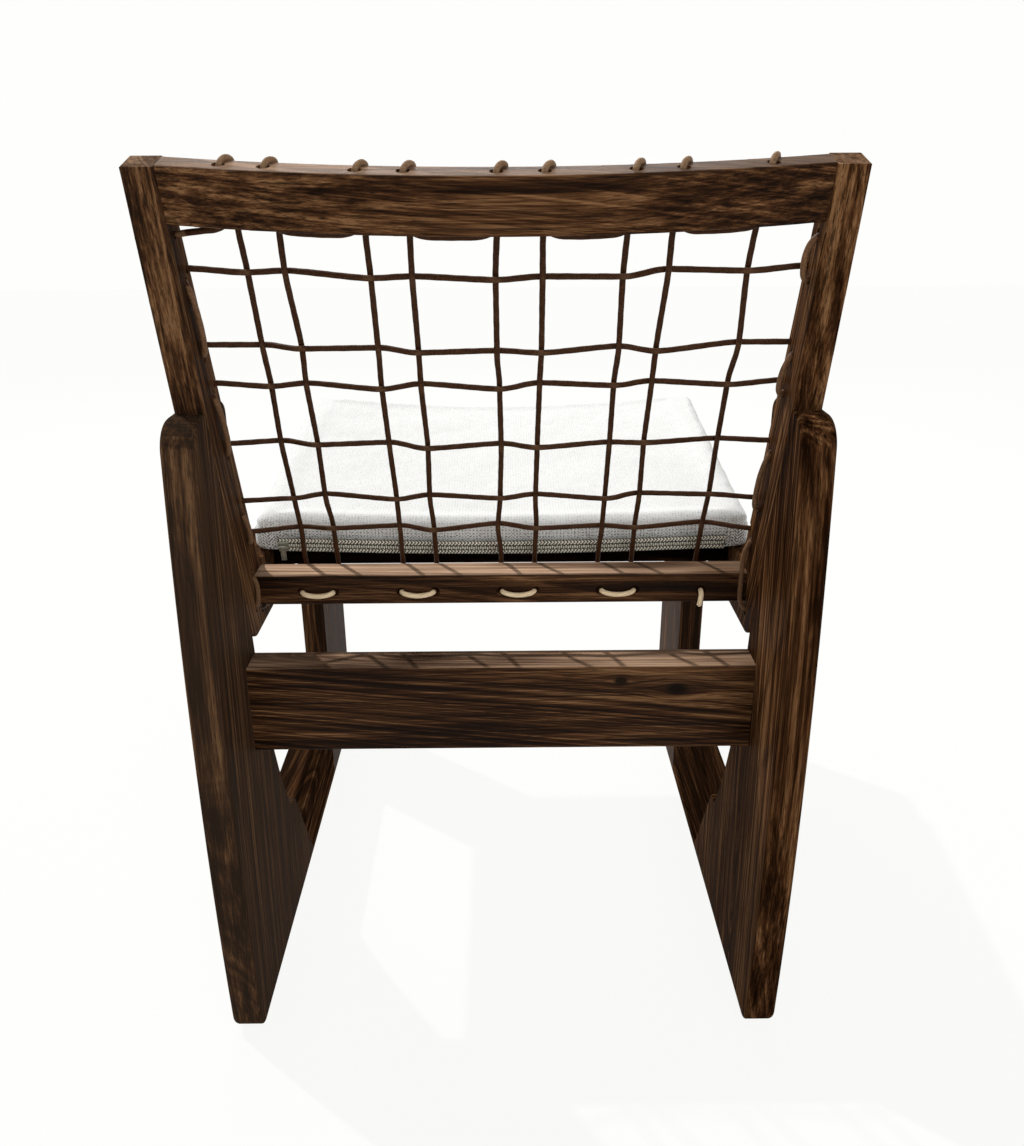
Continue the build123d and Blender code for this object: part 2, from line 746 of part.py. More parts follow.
# ---------------------------------------------------------------- rails
with BuildPart() as top_rail:
    with BuildSketch(rail_lean):
        with BuildLine():
            ThreePointArc((-inner_x, 0), (0, top_rail_bow), (inner_x, 0))
            Line((inner_x, 0), (inner_x, -top_rail_thickness))
            ThreePointArc(
                (inner_x, -top_rail_thickness),
                (0, top_rail_bow - top_rail_thickness),
                (-inner_x, -top_rail_thickness),
            )
            Line((-inner_x, -top_rail_thickness), (-inner_x, 0))
        make_face()
    extrude(amount=top_rail_height)
    long_edges = [e for e in top_rail.edges() if e.geom_type == GeomType.CIRCLE]
    fillet(long_edges, rail_edge_round)
    top_rail_joint()
    for x in cord_x:
        hole = rail_lean * Pos(x, rail_bow(x) - top_rail_thickness / 2, top_rail_height / 2)
        sink = (hole_sink - cord_hole) / 2
        end = (top_rail_height - sink) / 2
        with Locations(hole):
            Cylinder(cord_hole / 2, top_rail_height + 2, mode=Mode.SUBTRACT)
        with Locations(hole * Pos(0, 0, end)):
            Cone(cord_hole / 2, hole_sink / 2, sink, mode=Mode.SUBTRACT)
        with Locations(hole * Pos(0, 0, -end)):
            Cone(hole_sink / 2, cord_hole / 2, sink, mode=Mode.SUBTRACT)

with BuildPart() as lower_back_rail:
    block(
        (-inner_x, inner_x),
        (fwd(lower_rail_rear), fwd(lower_rail_front)),
        (lower_rail_bottom, lower_rail_top),
    )
    fillet(lower_back_rail.edges().filter_by(Axis.X), rail_edge_round)
    lower_rail_joint()
    for x in cord_x:
        sink = (hole_sink - cord_hole) / 2
        end = (lower_rail_depth - sink) / 2
        hole = Pos(x, fwd(lower_rail_rear + lower_rail_depth / 2), lower_hole_z) * Rot(90, 0, 0)
        with Locations(hole):
            Cylinder(cord_hole / 2, lower_rail_depth + 2, mode=Mode.SUBTRACT)
        with Locations(hole * Pos(0, 0, end)):
            Cone(cord_hole / 2, hole_sink / 2, sink, mode=Mode.SUBTRACT)
        with Locations(hole * Pos(0, 0, -end)):
            Cone(hole_sink / 2, cord_hole / 2, sink, mode=Mode.SUBTRACT)

with BuildPart() as rear_stretcher:
    block(
        (-inner_x, inner_x),
        (fwd(stretcher_rear), fwd(stretcher_rear + stretcher_thickness)),
        (stretcher_bottom, stretcher_bottom + stretcher_height),
    )
    fillet(rear_stretcher.edges().filter_by(Axis.X), rail_edge_round)
    stretcher_joint()

with BuildPart() as front_seat_rail:
    block(
        (-inner_x, inner_x),
        (fwd(front_rail_rear), fwd(front_rail_rear + seat_rail_thickness)),
        (front_rail_top - front_rail_height, front_rail_top),
    )
    fillet(front_seat_rail.edges().filter_by(Axis.X), rail_edge_round)
    front_rail_joint()

with BuildPart() as rear_seat_rail:
    block(
        (-inner_x, inner_x),
        (fwd(rear_rail_rear), fwd(rear_rail_front)),
        (rear_rail_top - rear_rail_height, rear_rail_top),
    )
    fillet(rear_seat_rail.edges().filter_by(Axis.X), rail_edge_round)
    rear_rail_joint()

# ---------------------------------------------------------------- dowels and glides
with BuildPart() as frame_dowels:
    pins(sill_dowels + knee_dowels, dowel_diameter, dowel_length, along_y)
    mirror(frame_dowels.part, about=Plane.YZ)

with BuildPart() as lap_dowels:
    pins(stile_dowels + rail_dowels, dowel_diameter, lap_dowel_length, along_x)
    mirror(lap_dowels.part, about=Plane.YZ)


def glide(x, distance):
    """A flat foot pad with a smaller step at the floor and a stem up into the leg."""
    step = glide_height / 2
    with Locations((x, fwd(distance), 0)):
        Cylinder(glide_diameter / 2 - 1.5, step, align=(Align.CENTER, Align.CENTER, Align.MIN))
        with Locations((0, 0, step)):
            Cylinder(glide_diameter / 2, step, align=(Align.CENTER, Align.CENTER, Align.MIN))
        with Locations((0, 0, glide_height)):
            Cylinder(
                glide_stem_diameter / 2,
                glide_stem_length,
                align=(Align.CENTER, Align.CENTER, Align.MIN),
            )


with BuildPart() as glide_rear_left:
    glide(panel_middle_x, glide_rear)

with BuildPart() as glide_rear_right:
    glide(-panel_middle_x, glide_rear)

with BuildPart() as glide_front_left:
    glide(panel_middle_x, glide_front)

with BuildPart() as glide_front_right:
    glide(-panel_middle_x, glide_front)

# ---------------------------------------------------------------- lacing
with BuildPart() as back_lacing_uprights:
    with BuildLine():
        FilletPolyline(*upright_points, radius=cord_radii(upright_points))
    with BuildSketch(start_plane(upright_points)):
        Circle(cord_diameter / 2)
    sweep()

with BuildPart() as back_lacing_rows:
    with BuildLine():
        FilletPolyline(*cross_points, radius=cord_radii(cross_points))
    with BuildSketch(start_plane(cross_points)):
        Circle(cord_diameter / 2)
    sweep()

with BuildPart() as seat_lacing:
    with BuildLine():
        FilletPolyline(*seat_points, radius=cord_radii(seat_points))
    with BuildSketch(start_plane(seat_points)):
        Circle(cord_diameter / 2)
    sweep()

# ---------------------------------------------------------------- seat pad and zip
pad_plane = Plane(
    origin=(pad_shift, fwd(seat_rear), seat_z(seat_rear) + pad_clearance),
    x_dir=(1, 0, 0),
    z_dir=(0, sin(radians(seat_rake)), cos(radians(seat_rake))),
)

with BuildPart() as seat_pad:
    with BuildSketch(pad_plane) as pad_outline:
        with Locations((0, -pad_depth / 2)):
            Rectangle(pad_width, pad_depth)
        corners = pad_outline.vertices().group_by(Axis(pad_plane.origin, -pad_plane.y_dir))
        fillet(corners[0], pad_rear_corner)
        fillet(corners[-1], pad_front_corner)
    extrude(amount=pad_crown)
    pad_axis = Axis(pad_plane.origin, pad_plane.z_dir)
    top_face = seat_pad.faces().sort_by(pad_axis)[-1]
    fillet(top_face.edges(), pad_crown - pad_edge)
    bottom_face = seat_pad.faces().sort_by(pad_axis)[0]
    fillet(bottom_face.edges(), pad_bottom_round)

tape_top = zip_tape_thickness
slider_back = tape_top + slider_play + slider_thickness
slider_x = zip_length / 2 - slider_inset
zip_plane = pad_plane * Pos(0, 0, zip_height)
slider_plane = zip_plane * Pos(slider_x, 0, 0)
bail_y = slider_back + pull_barrel / 2 + slider_play
bail_leg_x = (slider_length - bail_wire) / 2

with BuildPart() as zip_tape:
    with Locations(zip_plane * Pos(0, tape_top / 2, 0)):
        Box(zip_length, tape_top, zip_tape_width)
    with Locations(zip_plane * Pos(0, tape_top + zip_tooth_height / 2, 0)):
        Box(zip_length, zip_tooth_height, zip_tooth_width)

with BuildPart() as zip_slider:
    with Locations(slider_plane * Pos(0, slider_back - slider_thickness / 2, 0)):
        Box(slider_length, slider_thickness, slider_width)
    fillet(zip_slider.edges().filter_by(Axis.X), 0.8)
    channel = zip_tooth_height + slider_play
    with Locations(slider_plane * Pos(0, tape_top + channel / 2, 0)):
        Box(
            slider_length + 1,
            channel,
            zip_tooth_width + 2 * slider_play,
            mode=Mode.SUBTRACT,
        )
    for leg_x in (-bail_leg_x, bail_leg_x):
        with Locations(slider_plane * Pos(leg_x, (slider_back + bail_y) / 2, 0)):
            Box(bail_wire, bail_y - slider_back, bail_wire)
    with Locations(slider_plane * Pos(0, bail_y, 0)):
        Cylinder(bail_wire / 2, slider_length, rotation=along_x)

with BuildPart() as zip_pull:
    barrel_length = slider_length - 2 * bail_wire - 2 * slider_play
    with Locations(slider_plane * Pos(0, bail_y, -(pull_length + bail_wire) / 2)):
        Box(pull_width, pull_thickness, pull_length - bail_wire)
    with Locations(slider_plane * Pos(0, bail_y, 0)):
        Cylinder(pull_barrel / 2, barrel_length, rotation=along_x)
        Cylinder(
            bail_wire / 2 + slider_play,
            barrel_length + 2,
            rotation=along_x,
            mode=Mode.SUBTRACT,
        )

# ---------------------------------------------------------------- names and files
os.makedirs("parts", exist_ok=True)

rear_leg_left.part.label = "rear_leg_left"
export_step(rear_leg_left.part, "parts/rear_leg_left.step")

rear_leg_right.part.label = "rear_leg_right"
export_step(rear_leg_right.part, "parts/rear_leg_right.step")

sill_left.part.label = "sill_left"
export_step(sill_left.part, "parts/sill_left.step")

sill_right.part.label = "sill_right"
export_step(sill_right.part, "parts/sill_right.step")

front_leg_left.part.label = "front_leg_left"
export_step(front_leg_left.part, "parts/front_leg_left.step")

front_leg_right.part.label = "front_leg_right"
export_step(front_leg_right.part, "parts/front_leg_right.step")

back_stile_left.part.label = "back_stile_left"
export_step(back_stile_left.part, "parts/back_stile_left.step")

back_stile_right.part.label = "back_stile_right"
export_step(back_stile_right.part, "parts/back_stile_right.step")

seat_side_rail_left.part.label = "seat_side_rail_left"
export_step(seat_side_rail_left.part, "parts/seat_side_rail_left.step")

seat_side_rail_right.part.label = "seat_side_rail_right"
export_step(seat_side_rail_right.part, "parts/seat_side_rail_right.step")

top_rail.part.label = "top_rail"
export_step(top_rail.part, "parts/top_rail.step")

lower_back_rail.part.label = "lower_back_rail"
export_step(lower_back_rail.part, "parts/lower_back_rail.step")

rear_stretcher.part.label = "rear_stretcher"
export_step(rear_stretcher.part, "parts/rear_stretcher.step")

front_seat_rail.part.label = "front_seat_rail"
export_step(front_seat_rail.part, "parts/front_seat_rail.step")

rear_seat_rail.part.label = "rear_seat_rail"
export_step(rear_seat_rail.part, "parts/rear_seat_rail.step")

frame_dowels.part.label = "frame_dowels"
export_step(frame_dowels.part, "parts/frame_dowels.step")

lap_dowels.part.label = "lap_dowels"
export_step(lap_dowels.part, "parts/lap_dowels.step")

glide_rear_left.part.label = "glide_rear_left"
export_step(glide_rear_left.part, "parts/glide_rear_left.step")

glide_rear_right.part.label = "glide_rear_right"
export_step(glide_rear_right.part, "parts/glide_rear_right.step")

glide_front_left.part.label = "glide_front_left"
export_step(glide_front_left.part, "parts/glide_front_left.step")

glide_front_right.part.label = "glide_front_right"
export_step(glide_front_right.part, "parts/glide_front_right.step")

back_lacing_uprights.part.label = "back_lacing_uprights"
export_step(back_lacing_uprights.part, "parts/back_lacing_uprights.step")

back_lacing_rows.part.label = "back_lacing_rows"
export_step(back_lacing_rows.part, "parts/back_lacing_rows.step")

seat_lacing.part.label = "seat_lacing"
export_step(seat_lacing.part, "parts/seat_lacing.step")

seat_pad.part.label = "seat_pad"
export_step(seat_pad.part, "parts/seat_pad.step")

zip_tape.part.label = "zip_tape"
export_step(zip_tape.part, "parts/zip_tape.step")

zip_slider.part.label = "zip_slider"
export_step(zip_slider.part, "parts/zip_slider.step")

zip_pull.part.label = "zip_pull"
export_step(zip_pull.part, "parts/zip_pull.step")
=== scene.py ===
"""Looks of a corded wooden lounge chair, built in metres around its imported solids."""

import math

import bmesh
import bpy
import numpy as np
from mathutils import Matrix, Vector


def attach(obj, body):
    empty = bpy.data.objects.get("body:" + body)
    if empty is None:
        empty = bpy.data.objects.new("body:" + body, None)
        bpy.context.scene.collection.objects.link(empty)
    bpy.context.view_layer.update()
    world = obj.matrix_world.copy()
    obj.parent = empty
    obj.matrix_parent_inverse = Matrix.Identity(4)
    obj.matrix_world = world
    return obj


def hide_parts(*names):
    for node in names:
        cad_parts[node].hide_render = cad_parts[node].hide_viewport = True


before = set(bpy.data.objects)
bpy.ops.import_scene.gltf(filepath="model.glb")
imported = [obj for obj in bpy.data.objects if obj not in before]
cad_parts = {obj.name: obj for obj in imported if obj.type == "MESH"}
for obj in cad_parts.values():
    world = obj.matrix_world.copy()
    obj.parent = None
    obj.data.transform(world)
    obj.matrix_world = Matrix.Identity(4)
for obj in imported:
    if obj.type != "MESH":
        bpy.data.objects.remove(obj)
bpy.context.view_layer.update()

# ------------------------ sizes shared with the solids
INNER_X = 0.222              # inner faces of the side panels
FOOT_LINE_Y = 0.2796         # distances along the side are measured forward from here
SEAT_RAKE = math.radians(6.0)
PAD_REAR = 0.183
PAD_SIZE = Vector((0.466, 0.35897, 0.035))
PAD_EDGE = 0.024             # height of the boxing, up to the seam
PAD_ORIGIN = Vector((-0.001, FOOT_LINE_Y - PAD_REAR, 0.4054))
PAD_SAG = 0.0042             # the loose pad hangs this far in its middle
PAD_LEVEL = 0.195            # and lies level this far from its middle, across
ZIP_LENGTH = 0.418
ZIP_HEIGHT = 0.010           # of the zip's middle, above the pad's base
ZIP_HALF = 0.0068            # half the height of the tape that shows
CORD_RADIUS = 0.0023
CORD_OFF = 0.0027            # a cord's centre off the face it lies on
TWIST_PITCH = 0.0125         # a strand's way along the cord in a third of a turn
LOBE = 0.02                  # how much a strand swells the cord, as a share of its radius
CORD_SHARES = (0.815, 0.68, 0.41, 0.27, 0, -0.14, -0.405, -0.545, -0.815)
CORD_X = tuple(share * INNER_X for share in CORD_SHARES)


def fwd(distance):
    """Y of a point this far in front of the foot line."""
    return FOOT_LINE_Y - distance


RAIL_LEAN = math.radians(17.0)
RAIL_FOOT = Vector((0.0, fwd(0.0215), 0.7045))  # the top rail's lower rear arris at its ends
RAIL_TALL = 0.0392
STILE_TOP = (0.033, 0.7484)           # in front of the foot line, and high


# ------------------------ camera, light and floor
BACKDROP = (0.992, 0.994, 0.975, 1)
AMBIENT = 0.34               # strength of the soft light from all round
FLOOR_HALF = 6.0
FLOOR_GLOW = 0.92            # how much of the floor is backdrop, the rest shows shadows


def make_camera():
    """The eye stands behind the chair, as high as its top rail, and looks a little down on it."""
    eye = Vector((-0.0040, 0.9602, 0.7381))
    yaw, pitch, roll = (math.radians(a) for a in (-0.41, 22.26, -0.25))
    ahead = Vector(
        (math.sin(yaw) * math.cos(pitch), -math.cos(yaw) * math.cos(pitch), -math.sin(pitch))
    )
    right = ahead.cross(Vector((0, 0, 1))).normalized()
    up = right.cross(ahead)
    rolled_right = right * math.cos(roll) + up * math.sin(roll)
    rolled_up = up * math.cos(roll) - right * math.sin(roll)
    data = bpy.data.cameras.new("eye")
    data.sensor_width = 36.0
    data.lens = 30.88
    data.clip_start = 0.02
    camera = bpy.data.objects.new("eye", data)
    turn = Matrix((rolled_right, rolled_up, -ahead)).transposed().to_4x4()
    camera.matrix_world = Matrix.Translation(eye) @ turn
    bpy.context.scene.collection.objects.link(camera)
    bpy.context.scene.camera = camera


def background_rays(tree):
    """1 for rays that see the background itself: camera, glossy and transmission rays."""
    path = tree.nodes.new("ShaderNodeLightPath")
    total = path.outputs["Is Camera Ray"]
    for name in ("Is Glossy Ray", "Is Transmission Ray"):
        larger = tree.nodes.new("ShaderNodeMath")
        larger.operation = "MAXIMUM"
        tree.links.new(total, larger.inputs[0])
        tree.links.new(path.outputs[name], larger.inputs[1])
        total = larger.outputs[0]
    return total


def link_mix(tree, factor, first, second):
    """Mixes two shaders by a factor and makes them the tree's surface."""
    mix = tree.nodes.new("ShaderNodeMixShader")
    for source, socket in zip((factor, first.outputs[0], second.outputs[0]), mix.inputs):
        tree.links.new(source, socket)
    out = next(node for node in tree.nodes if "Output" in node.bl_idname)
    tree.links.new(mix.outputs[0], out.inputs["Surface"])


def make_world():
    """A white backdrop, with a softer light from all round."""
    world = bpy.data.worlds.new("studio")
    world.use_nodes = True
    tree = world.node_tree
    tree.nodes.clear()
    tree.nodes.new("ShaderNodeOutputWorld")
    ambient = tree.nodes.new("ShaderNodeBackground")
    ambient.inputs["Color"].default_value = (1.0, 0.995, 0.98, 1)
    ambient.inputs["Strength"].default_value = AMBIENT
    backdrop = tree.nodes.new("ShaderNodeBackground")
    backdrop.inputs["Color"].default_value = BACKDROP
    backdrop.inputs["Strength"].default_value = 1.0
    link_mix(tree, background_rays(tree), ambient, backdrop)
    bpy.context.scene.world = world


def make_light(name, kind, energy, place, target, **settings):
    """A lamp at a place, turned to face a target."""
    data = bpy.data.lights.new(name, kind)
    data.energy = energy
    for key, value in settings.items():
        setattr(data, key, value)
    lamp = bpy.data.objects.new(name, data)
    lamp.location = place
    lamp.rotation_euler = (Vector(target) - Vector(place)).to_track_quat("-Z", "Y").to_euler()
    bpy.context.scene.collection.objects.link(lamp)


def make_floor():
    """A plain white floor that keeps a faint shadow."""
    half = FLOOR_HALF
    mesh = bpy.data.meshes.new("floor")
    corners = [(-half, -half, 0), (half, -half, 0), (half, half, 0), (-half, half, 0)]
    mesh.from_pydata(corners, [], [(0, 1, 2, 3)])
    floor = bpy.data.objects.new("floor", mesh)
    bpy.context.scene.collection.objects.link(floor)
    material = bpy.data.materials.new("floor_white")
    material.use_nodes = True
    tree = material.node_tree
    tree.nodes.clear()
    tree.nodes.new("ShaderNodeOutputMaterial")
    paint = tree.nodes.new("ShaderNodeBsdfDiffuse")
    paint.inputs["Color"].default_value = (0.86, 0.86, 0.84, 1)
    glow = tree.nodes.new("ShaderNodeEmission")
    glow.inputs["Color"].default_value = BACKDROP
    share = tree.nodes.new("ShaderNodeMath")
    share.operation = "MULTIPLY"
    share.inputs[1].default_value = FLOOR_GLOW
    tree.links.new(background_rays(tree), share.inputs[0])
    link_mix(tree, share.outputs[0], paint, glow)
    mesh.materials.append(material)


make_camera()
make_world()
make_light("key", "SUN", 2.42, (1.2, -0.94, 2.35), (0, 0, 0.35), angle=math.radians(1.2))
make_light(
    "window", "AREA", 33.0, (0.15, -2.2, 1.75), (0, 0.2, 0.5), shape="RECTANGLE", size=1.7, size_y=0.8
)
make_light("fill", "AREA", 11.0, (-0.5, 1.9, 1.5), (0, 0.1, 0.45), shape="DISK", size=0.9)
make_floor()
bpy.context.scene.view_settings.view_transform = "Standard"


# ------------------------ material building
class Recipe:
    """A node material that grows by one node a call; each call gives back the node's output."""

    def __init__(self, name):
        self.material = bpy.data.materials.new(name)
        self.material.use_nodes = True
        self.tree = self.material.node_tree
        self.tree.nodes.clear()
        out = self.tree.nodes.new("ShaderNodeOutputMaterial")
        self.surface = self.tree.nodes.new("ShaderNodeBsdfPrincipled")
        self.tree.links.new(self.surface.outputs[0], out.inputs["Surface"])

    def add(self, kind, inputs, output=0, **settings):
        node = self.tree.nodes.new("ShaderNode" + kind)
        for key, value in settings.items():
            setattr(node, key, value)
        self.feed(node, inputs)
        return node.outputs[output]

    def feed(self, node, inputs):
        for key, value in inputs.items():
            if isinstance(value, bpy.types.NodeSocket):
                self.tree.links.new(value, node.inputs[key])
            else:
                node.inputs[key].default_value = value

    def finish_with(self, colour, roughness, normal=None, gloss=None, sheen=None):
        """Feeds the surface; what is left out stays at its default."""
        values = {"Base Color": colour, "Roughness": roughness, "Normal": normal}
        values.update({"Specular IOR Level": gloss, "Sheen Weight": sheen})
        given = {key: value for key, value in values.items() if value is not None}
        self.feed(self.surface, given)
        return self.material

    def math(self, operation, a, b=0.5):
        return self.add("Math", {0: a, 1: b}, operation=operation)

    def product(self, first, *others):
        for other in others:
            first = self.math("MULTIPLY", first, other)
        return first

    def total(self, first, *others):
        for other in others:
            first = self.math("ADD", first, other)
        return first

    def waves(self, value, pitch):
        """A sine wave along a value."""
        return self.math("SINE", self.product(value, 2 * math.pi / pitch))

    def minus(self, vector, other):
        return self.add("VectorMath", {0: vector, 1: other}, operation="SUBTRACT")

    def plus(self, vector, other):
        return self.add("VectorMath", {0: vector, 1: other}, operation="ADD")

    def times(self, vector, factor):
        return self.add("VectorMath", {0: vector, 3: factor}, operation="SCALE")

    def length(self, vector):
        return self.add("VectorMath", {0: vector}, output=1, operation="LENGTH")

    def parts(self, vector):
        """A vector's X, Y and Z."""
        return self.add("SeparateXYZ", {0: vector}, output=slice(0, 3))

    def local(self, place=(0, 0, 0), turn=(0, 0, 0)):
        """The object's own coordinates seen from a board's or pad's own axes."""
        own = self.add("TexCoord", {}, output=3)
        return self.add(
            "Mapping", {"Vector": own, "Location": place, "Rotation": turn}, vector_type="TEXTURE"
        )

    def stretched(self, vector, across, along):
        """A vector scaled across the grain and along it."""
        return self.add("VectorMath", {0: vector, 1: (across, across, along)}, operation="MULTIPLY")

    def noise(self, vector, detail=3.0, roughness=0.55, distortion=0.0, scale=1.0, colour=False):
        values = {"Vector": vector, "Scale": scale, "Detail": detail, "Roughness": roughness}
        values["Distortion"] = distortion
        return self.add("TexNoise", values, output=1 if colour else 0)

    def ring_noise(self, distance, scale, detail):
        """Noise that varies with a distance alone, as growth rings do."""
        values = {"W": distance, "Scale": scale, "Detail": detail, "Roughness": 0.62}
        return self.add("TexNoise", values, noise_dimensions="1D")

    def level(self, value, low, high, to_low=0.0, to_high=1.0):
        """A value's place between low and high, held to the range."""
        values = {"Value": value, 1: low, 2: high, 3: to_low, 4: to_high}
        return self.add("MapRange", values, clamp=True)

    def ramp(self, value, stops):
        node = self.tree.nodes.new("ShaderNodeValToRGB")
        band = node.color_ramp
        while len(band.elements) < len(stops):
            band.elements.new(0.5)
        for element, (place, colour) in zip(band.elements, stops):
            element.position = place
            element.color = (*colour, 1)
        self.tree.links.new(value, node.inputs[0])
        return node.outputs[0]

    def mix(self, factor, a, b, blend="MIX"):
        colours = [c if isinstance(c, bpy.types.NodeSocket) else (*c, 1) for c in (a, b)]
        values = {0: factor, 6: colours[0], 7: colours[1]}
        return self.add("Mix", values, output=2, data_type="RGBA", blend_type=blend)

    def bump(self, height, depth, strength=1.0, normal=None):
        values = {"Height": height, "Distance": depth, "Strength": strength}
        if normal is not None:
            values["Normal"] = normal
        return self.add("Bump", values)


# ------------------------ wood
WOOD_STOPS = (
    (0.0, (0.0050, 0.0019, 0.0009)),
    (0.34, (0.017, 0.0066, 0.0026)),
    (0.58, (0.051, 0.0205, 0.0078)),
    (0.79, (0.118, 0.0530, 0.0215)),
    (1.0, (0.220, 0.1120, 0.0500)),
)
WOOD_DARK = (0.0055, 0.0026, 0.0013)  # veins, pores and knots
# the grey of a painted sheen, mixed in most on the left panel
WOOD_SHEEN_GREY = (0.046, 0.034, 0.025)
# the pale colours of the painted highlight on the tops of boards, where the light falls
PAINTED_HIGHLIGHT_STOPS = ((0.1, (0.18, 0.088, 0.046)), (0.9, (0.80, 0.54, 0.36)))
TONE_REACH = 0.108                    # from the middle tone to the darkest and the palest
PITH = (0.052, 0.028, 0.0)            # from the growth rings' centre to a board's own origin
PITH_LEAN = 0.11                      # sideways a metre along the board
RINGS, LATE_RINGS = 300.0, 760.0      # how often each varies, outwards, a metre
# How often a figure varies in a metre, across the grain and along it.
WANDER = ((7.0, 1.1, 0.020), (60.0, 8.0, 0.0012))  # and how far it pushes the grain aside
PATCH = (17.0, 3.0)
STREAK = (130.0, 2.4)
FIBRE = (700.0, 12.0)
VEIN = (430.0, 5.0)
PORE = (1500.0, 60.0)
# the uneven patches of the painted highlight on the tops of boards
HIGHLIGHT_PATCHES = (24.0, 5.0)


def grain_lines(r, own, knots):
    """A board's coordinates with its grain made to wander and to flow round its knots."""
    grain = own
    for across, along, amount in WANDER:
        wander = r.noise(r.stretched(own, across, along), detail=2.0, colour=True)
        grain = r.plus(grain, r.times(r.minus(wander, (0.5, 0.5, 0.5)), amount))
    for spot, size in knots:
        away = r.minus(own, spot)
        near = r.level(r.length(r.stretched(away, 1.0, 0.45)), 0.0, size * 3.0, 1.0, 0.0)
        grain = r.plus(grain, r.times(away, r.product(near, near, -1.1)))
    return grain


def pith_distance(r, grain):
    """The distance from the growth rings' centre line, which leans through the board."""
    x, y, z = r.parts(r.plus(grain, PITH))
    leaning = r.total(x, r.product(z, PITH_LEAN))
    return r.length(r.add("CombineXYZ", {0: leaning, 1: y, 2: 0.0}))


def painted_highlight_share(r, own, painted_highlight_at):
    """1 where a board's top is painted pale as a painted highlight: unevenly, above a level of
    height and slope rearwards.
    """
    height, slope = painted_highlight_at
    _, y, z = r.parts(r.local())
    level = r.total(z, r.product(y, slope))
    paleness_and_highlight = r.level(r.noise(r.stretched(own, *HIGHLIGHT_PATCHES), detail=2.0), 0.36, 0.66, 0.10, 0.80)
    return r.product(r.level(level, height - 0.0004, height + 0.0005), paleness_and_highlight)


def wood(name, place, turn, lift=0.0, figure=0.5, sheen_grey=0.0, gloss=0.05, painted_highlight_at=None, knots=()):
    """Dark oiled hardwood: uneven growth rings cut lengthwise, long streaks, fine dark lines and
    short open pores.

    turn lays the board's own Z along its grain, lift makes the board paler or darker, figure
    brings out its rings and patches, and the grey share greys it as a painted sheen.  The highlight
    level, as height and slope rearwards, is where the board's top starts to be painted pale and
    uneven, a painted highlight where the light falls, as on the tops of the rails.  knots are the
    places and sizes of its knots.
    """
    r = Recipe(name)
    own = r.local(place, turn)
    grain = grain_lines(r, own, knots)
    pith = pith_distance(r, grain)
    ring = r.ring_noise(pith, RINGS, 5.0)
    late = r.ring_noise(pith, LATE_RINGS, 1.0)
    patch = r.noise(r.stretched(grain, *PATCH), detail=3.0, distortion=0.3)
    streak = r.noise(r.stretched(grain, *STREAK), detail=5.0, roughness=0.68, distortion=0.15)
    fibre = r.noise(r.stretched(grain, *FIBRE), detail=3.0, roughness=0.7)
    vein = r.noise(r.stretched(grain, *VEIN), detail=2.0, roughness=0.5, distortion=0.2)
    pore = r.noise(r.stretched(grain, *PORE), detail=1.0)
    shares = ((ring, 0.42 * figure), (patch, 0.34 * figure), (streak, 0.42), (fibre, 0.22))
    tone = 0.0
    for part, share in shares:
        tone = r.total(tone, r.product(part, share))
    middle = sum(share for part, share in shares) / 2 - lift
    tone = r.level(tone, middle - TONE_REACH, middle + TONE_REACH)
    colour = r.ramp(tone, WOOD_STOPS)
    colour = r.mix(r.level(late, 0.56, 0.68, 0.0, 0.4 * figure), colour, WOOD_DARK)
    colour = r.mix(r.level(vein, 0.56, 0.66, 0.0, 0.70), colour, WOOD_DARK)
    holes = r.level(pore, 0.60, 0.68)
    colour = r.mix(r.product(holes, 0.6), colour, WOOD_DARK)
    for spot, size in knots:
        reach = r.length(r.stretched(r.minus(own, spot), 1.0, 0.6))
        colour = r.mix(r.level(reach, size * 0.55, size * 1.1, 0.95, 0.0), colour, WOOD_DARK)
    # painted sheen: the board greyed towards the sheen's grey
    colour = r.mix(sheen_grey, colour, WOOD_SHEEN_GREY)
    # painted highlight: above its level the board's top is painted pale, unevenly
    if painted_highlight_at:
        colour = r.mix(painted_highlight_share(r, own, painted_highlight_at), colour, r.ramp(tone, PAINTED_HIGHLIGHT_STOPS))
    height = r.math("SUBTRACT", r.product(fibre, 0.5), holes)
    roughness = r.level(streak, 0.35, 0.7, 0.40, 0.54)
    return r.finish_with(colour, roughness, r.bump(height, 0.0002, 0.5), gloss)


def paint(node_names, material):
    """Gives CAD nodes a material."""
    for name in node_names:
        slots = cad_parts[name].data.materials
        slots.clear()
        slots.append(material)


ALONG_X = (0.0, math.pi / 2, 0.0)
ALONG_STILE = (math.radians(-20.5), 0.0, 0.0)
ALONG_SEAT = (math.radians(84.0), 0.0, 0.0)
LEANING_LEG = (math.radians(4.0), 0.0, 0.0)
ALONG_SILL = (math.radians(90.0), 0.0, 0.0)
STRETCHER_KNOTS = (                   # their places on the board, and sizes
    (Vector((-0.0268, 0.0016, -0.1046)), 0.0045),
    (Vector((-0.0184, 0.0016, -0.1542)), 0.0065),
)
# Levels, as height and slope rearwards, above which a board's top gets a painted highlight,
# pale and uneven.
LOWER_RAIL_LEVEL = (0.4014, 0.0)
STRETCHER_LEVEL = (0.3374, 0.0)
RAIL_TOP_LEVEL = (
    RAIL_FOOT.z + RAIL_TALL * math.cos(RAIL_LEAN)
    + (RAIL_FOOT.y + RAIL_TALL * math.sin(RAIL_LEAN)) * math.tan(RAIL_LEAN),
    math.tan(RAIL_LEAN),
)
STILE_TOP_SLOPE = math.tan(math.radians(16.7))
STILE_TOP_LEVEL = (STILE_TOP[1] + fwd(STILE_TOP[0]) * STILE_TOP_SLOPE, STILE_TOP_SLOPE)
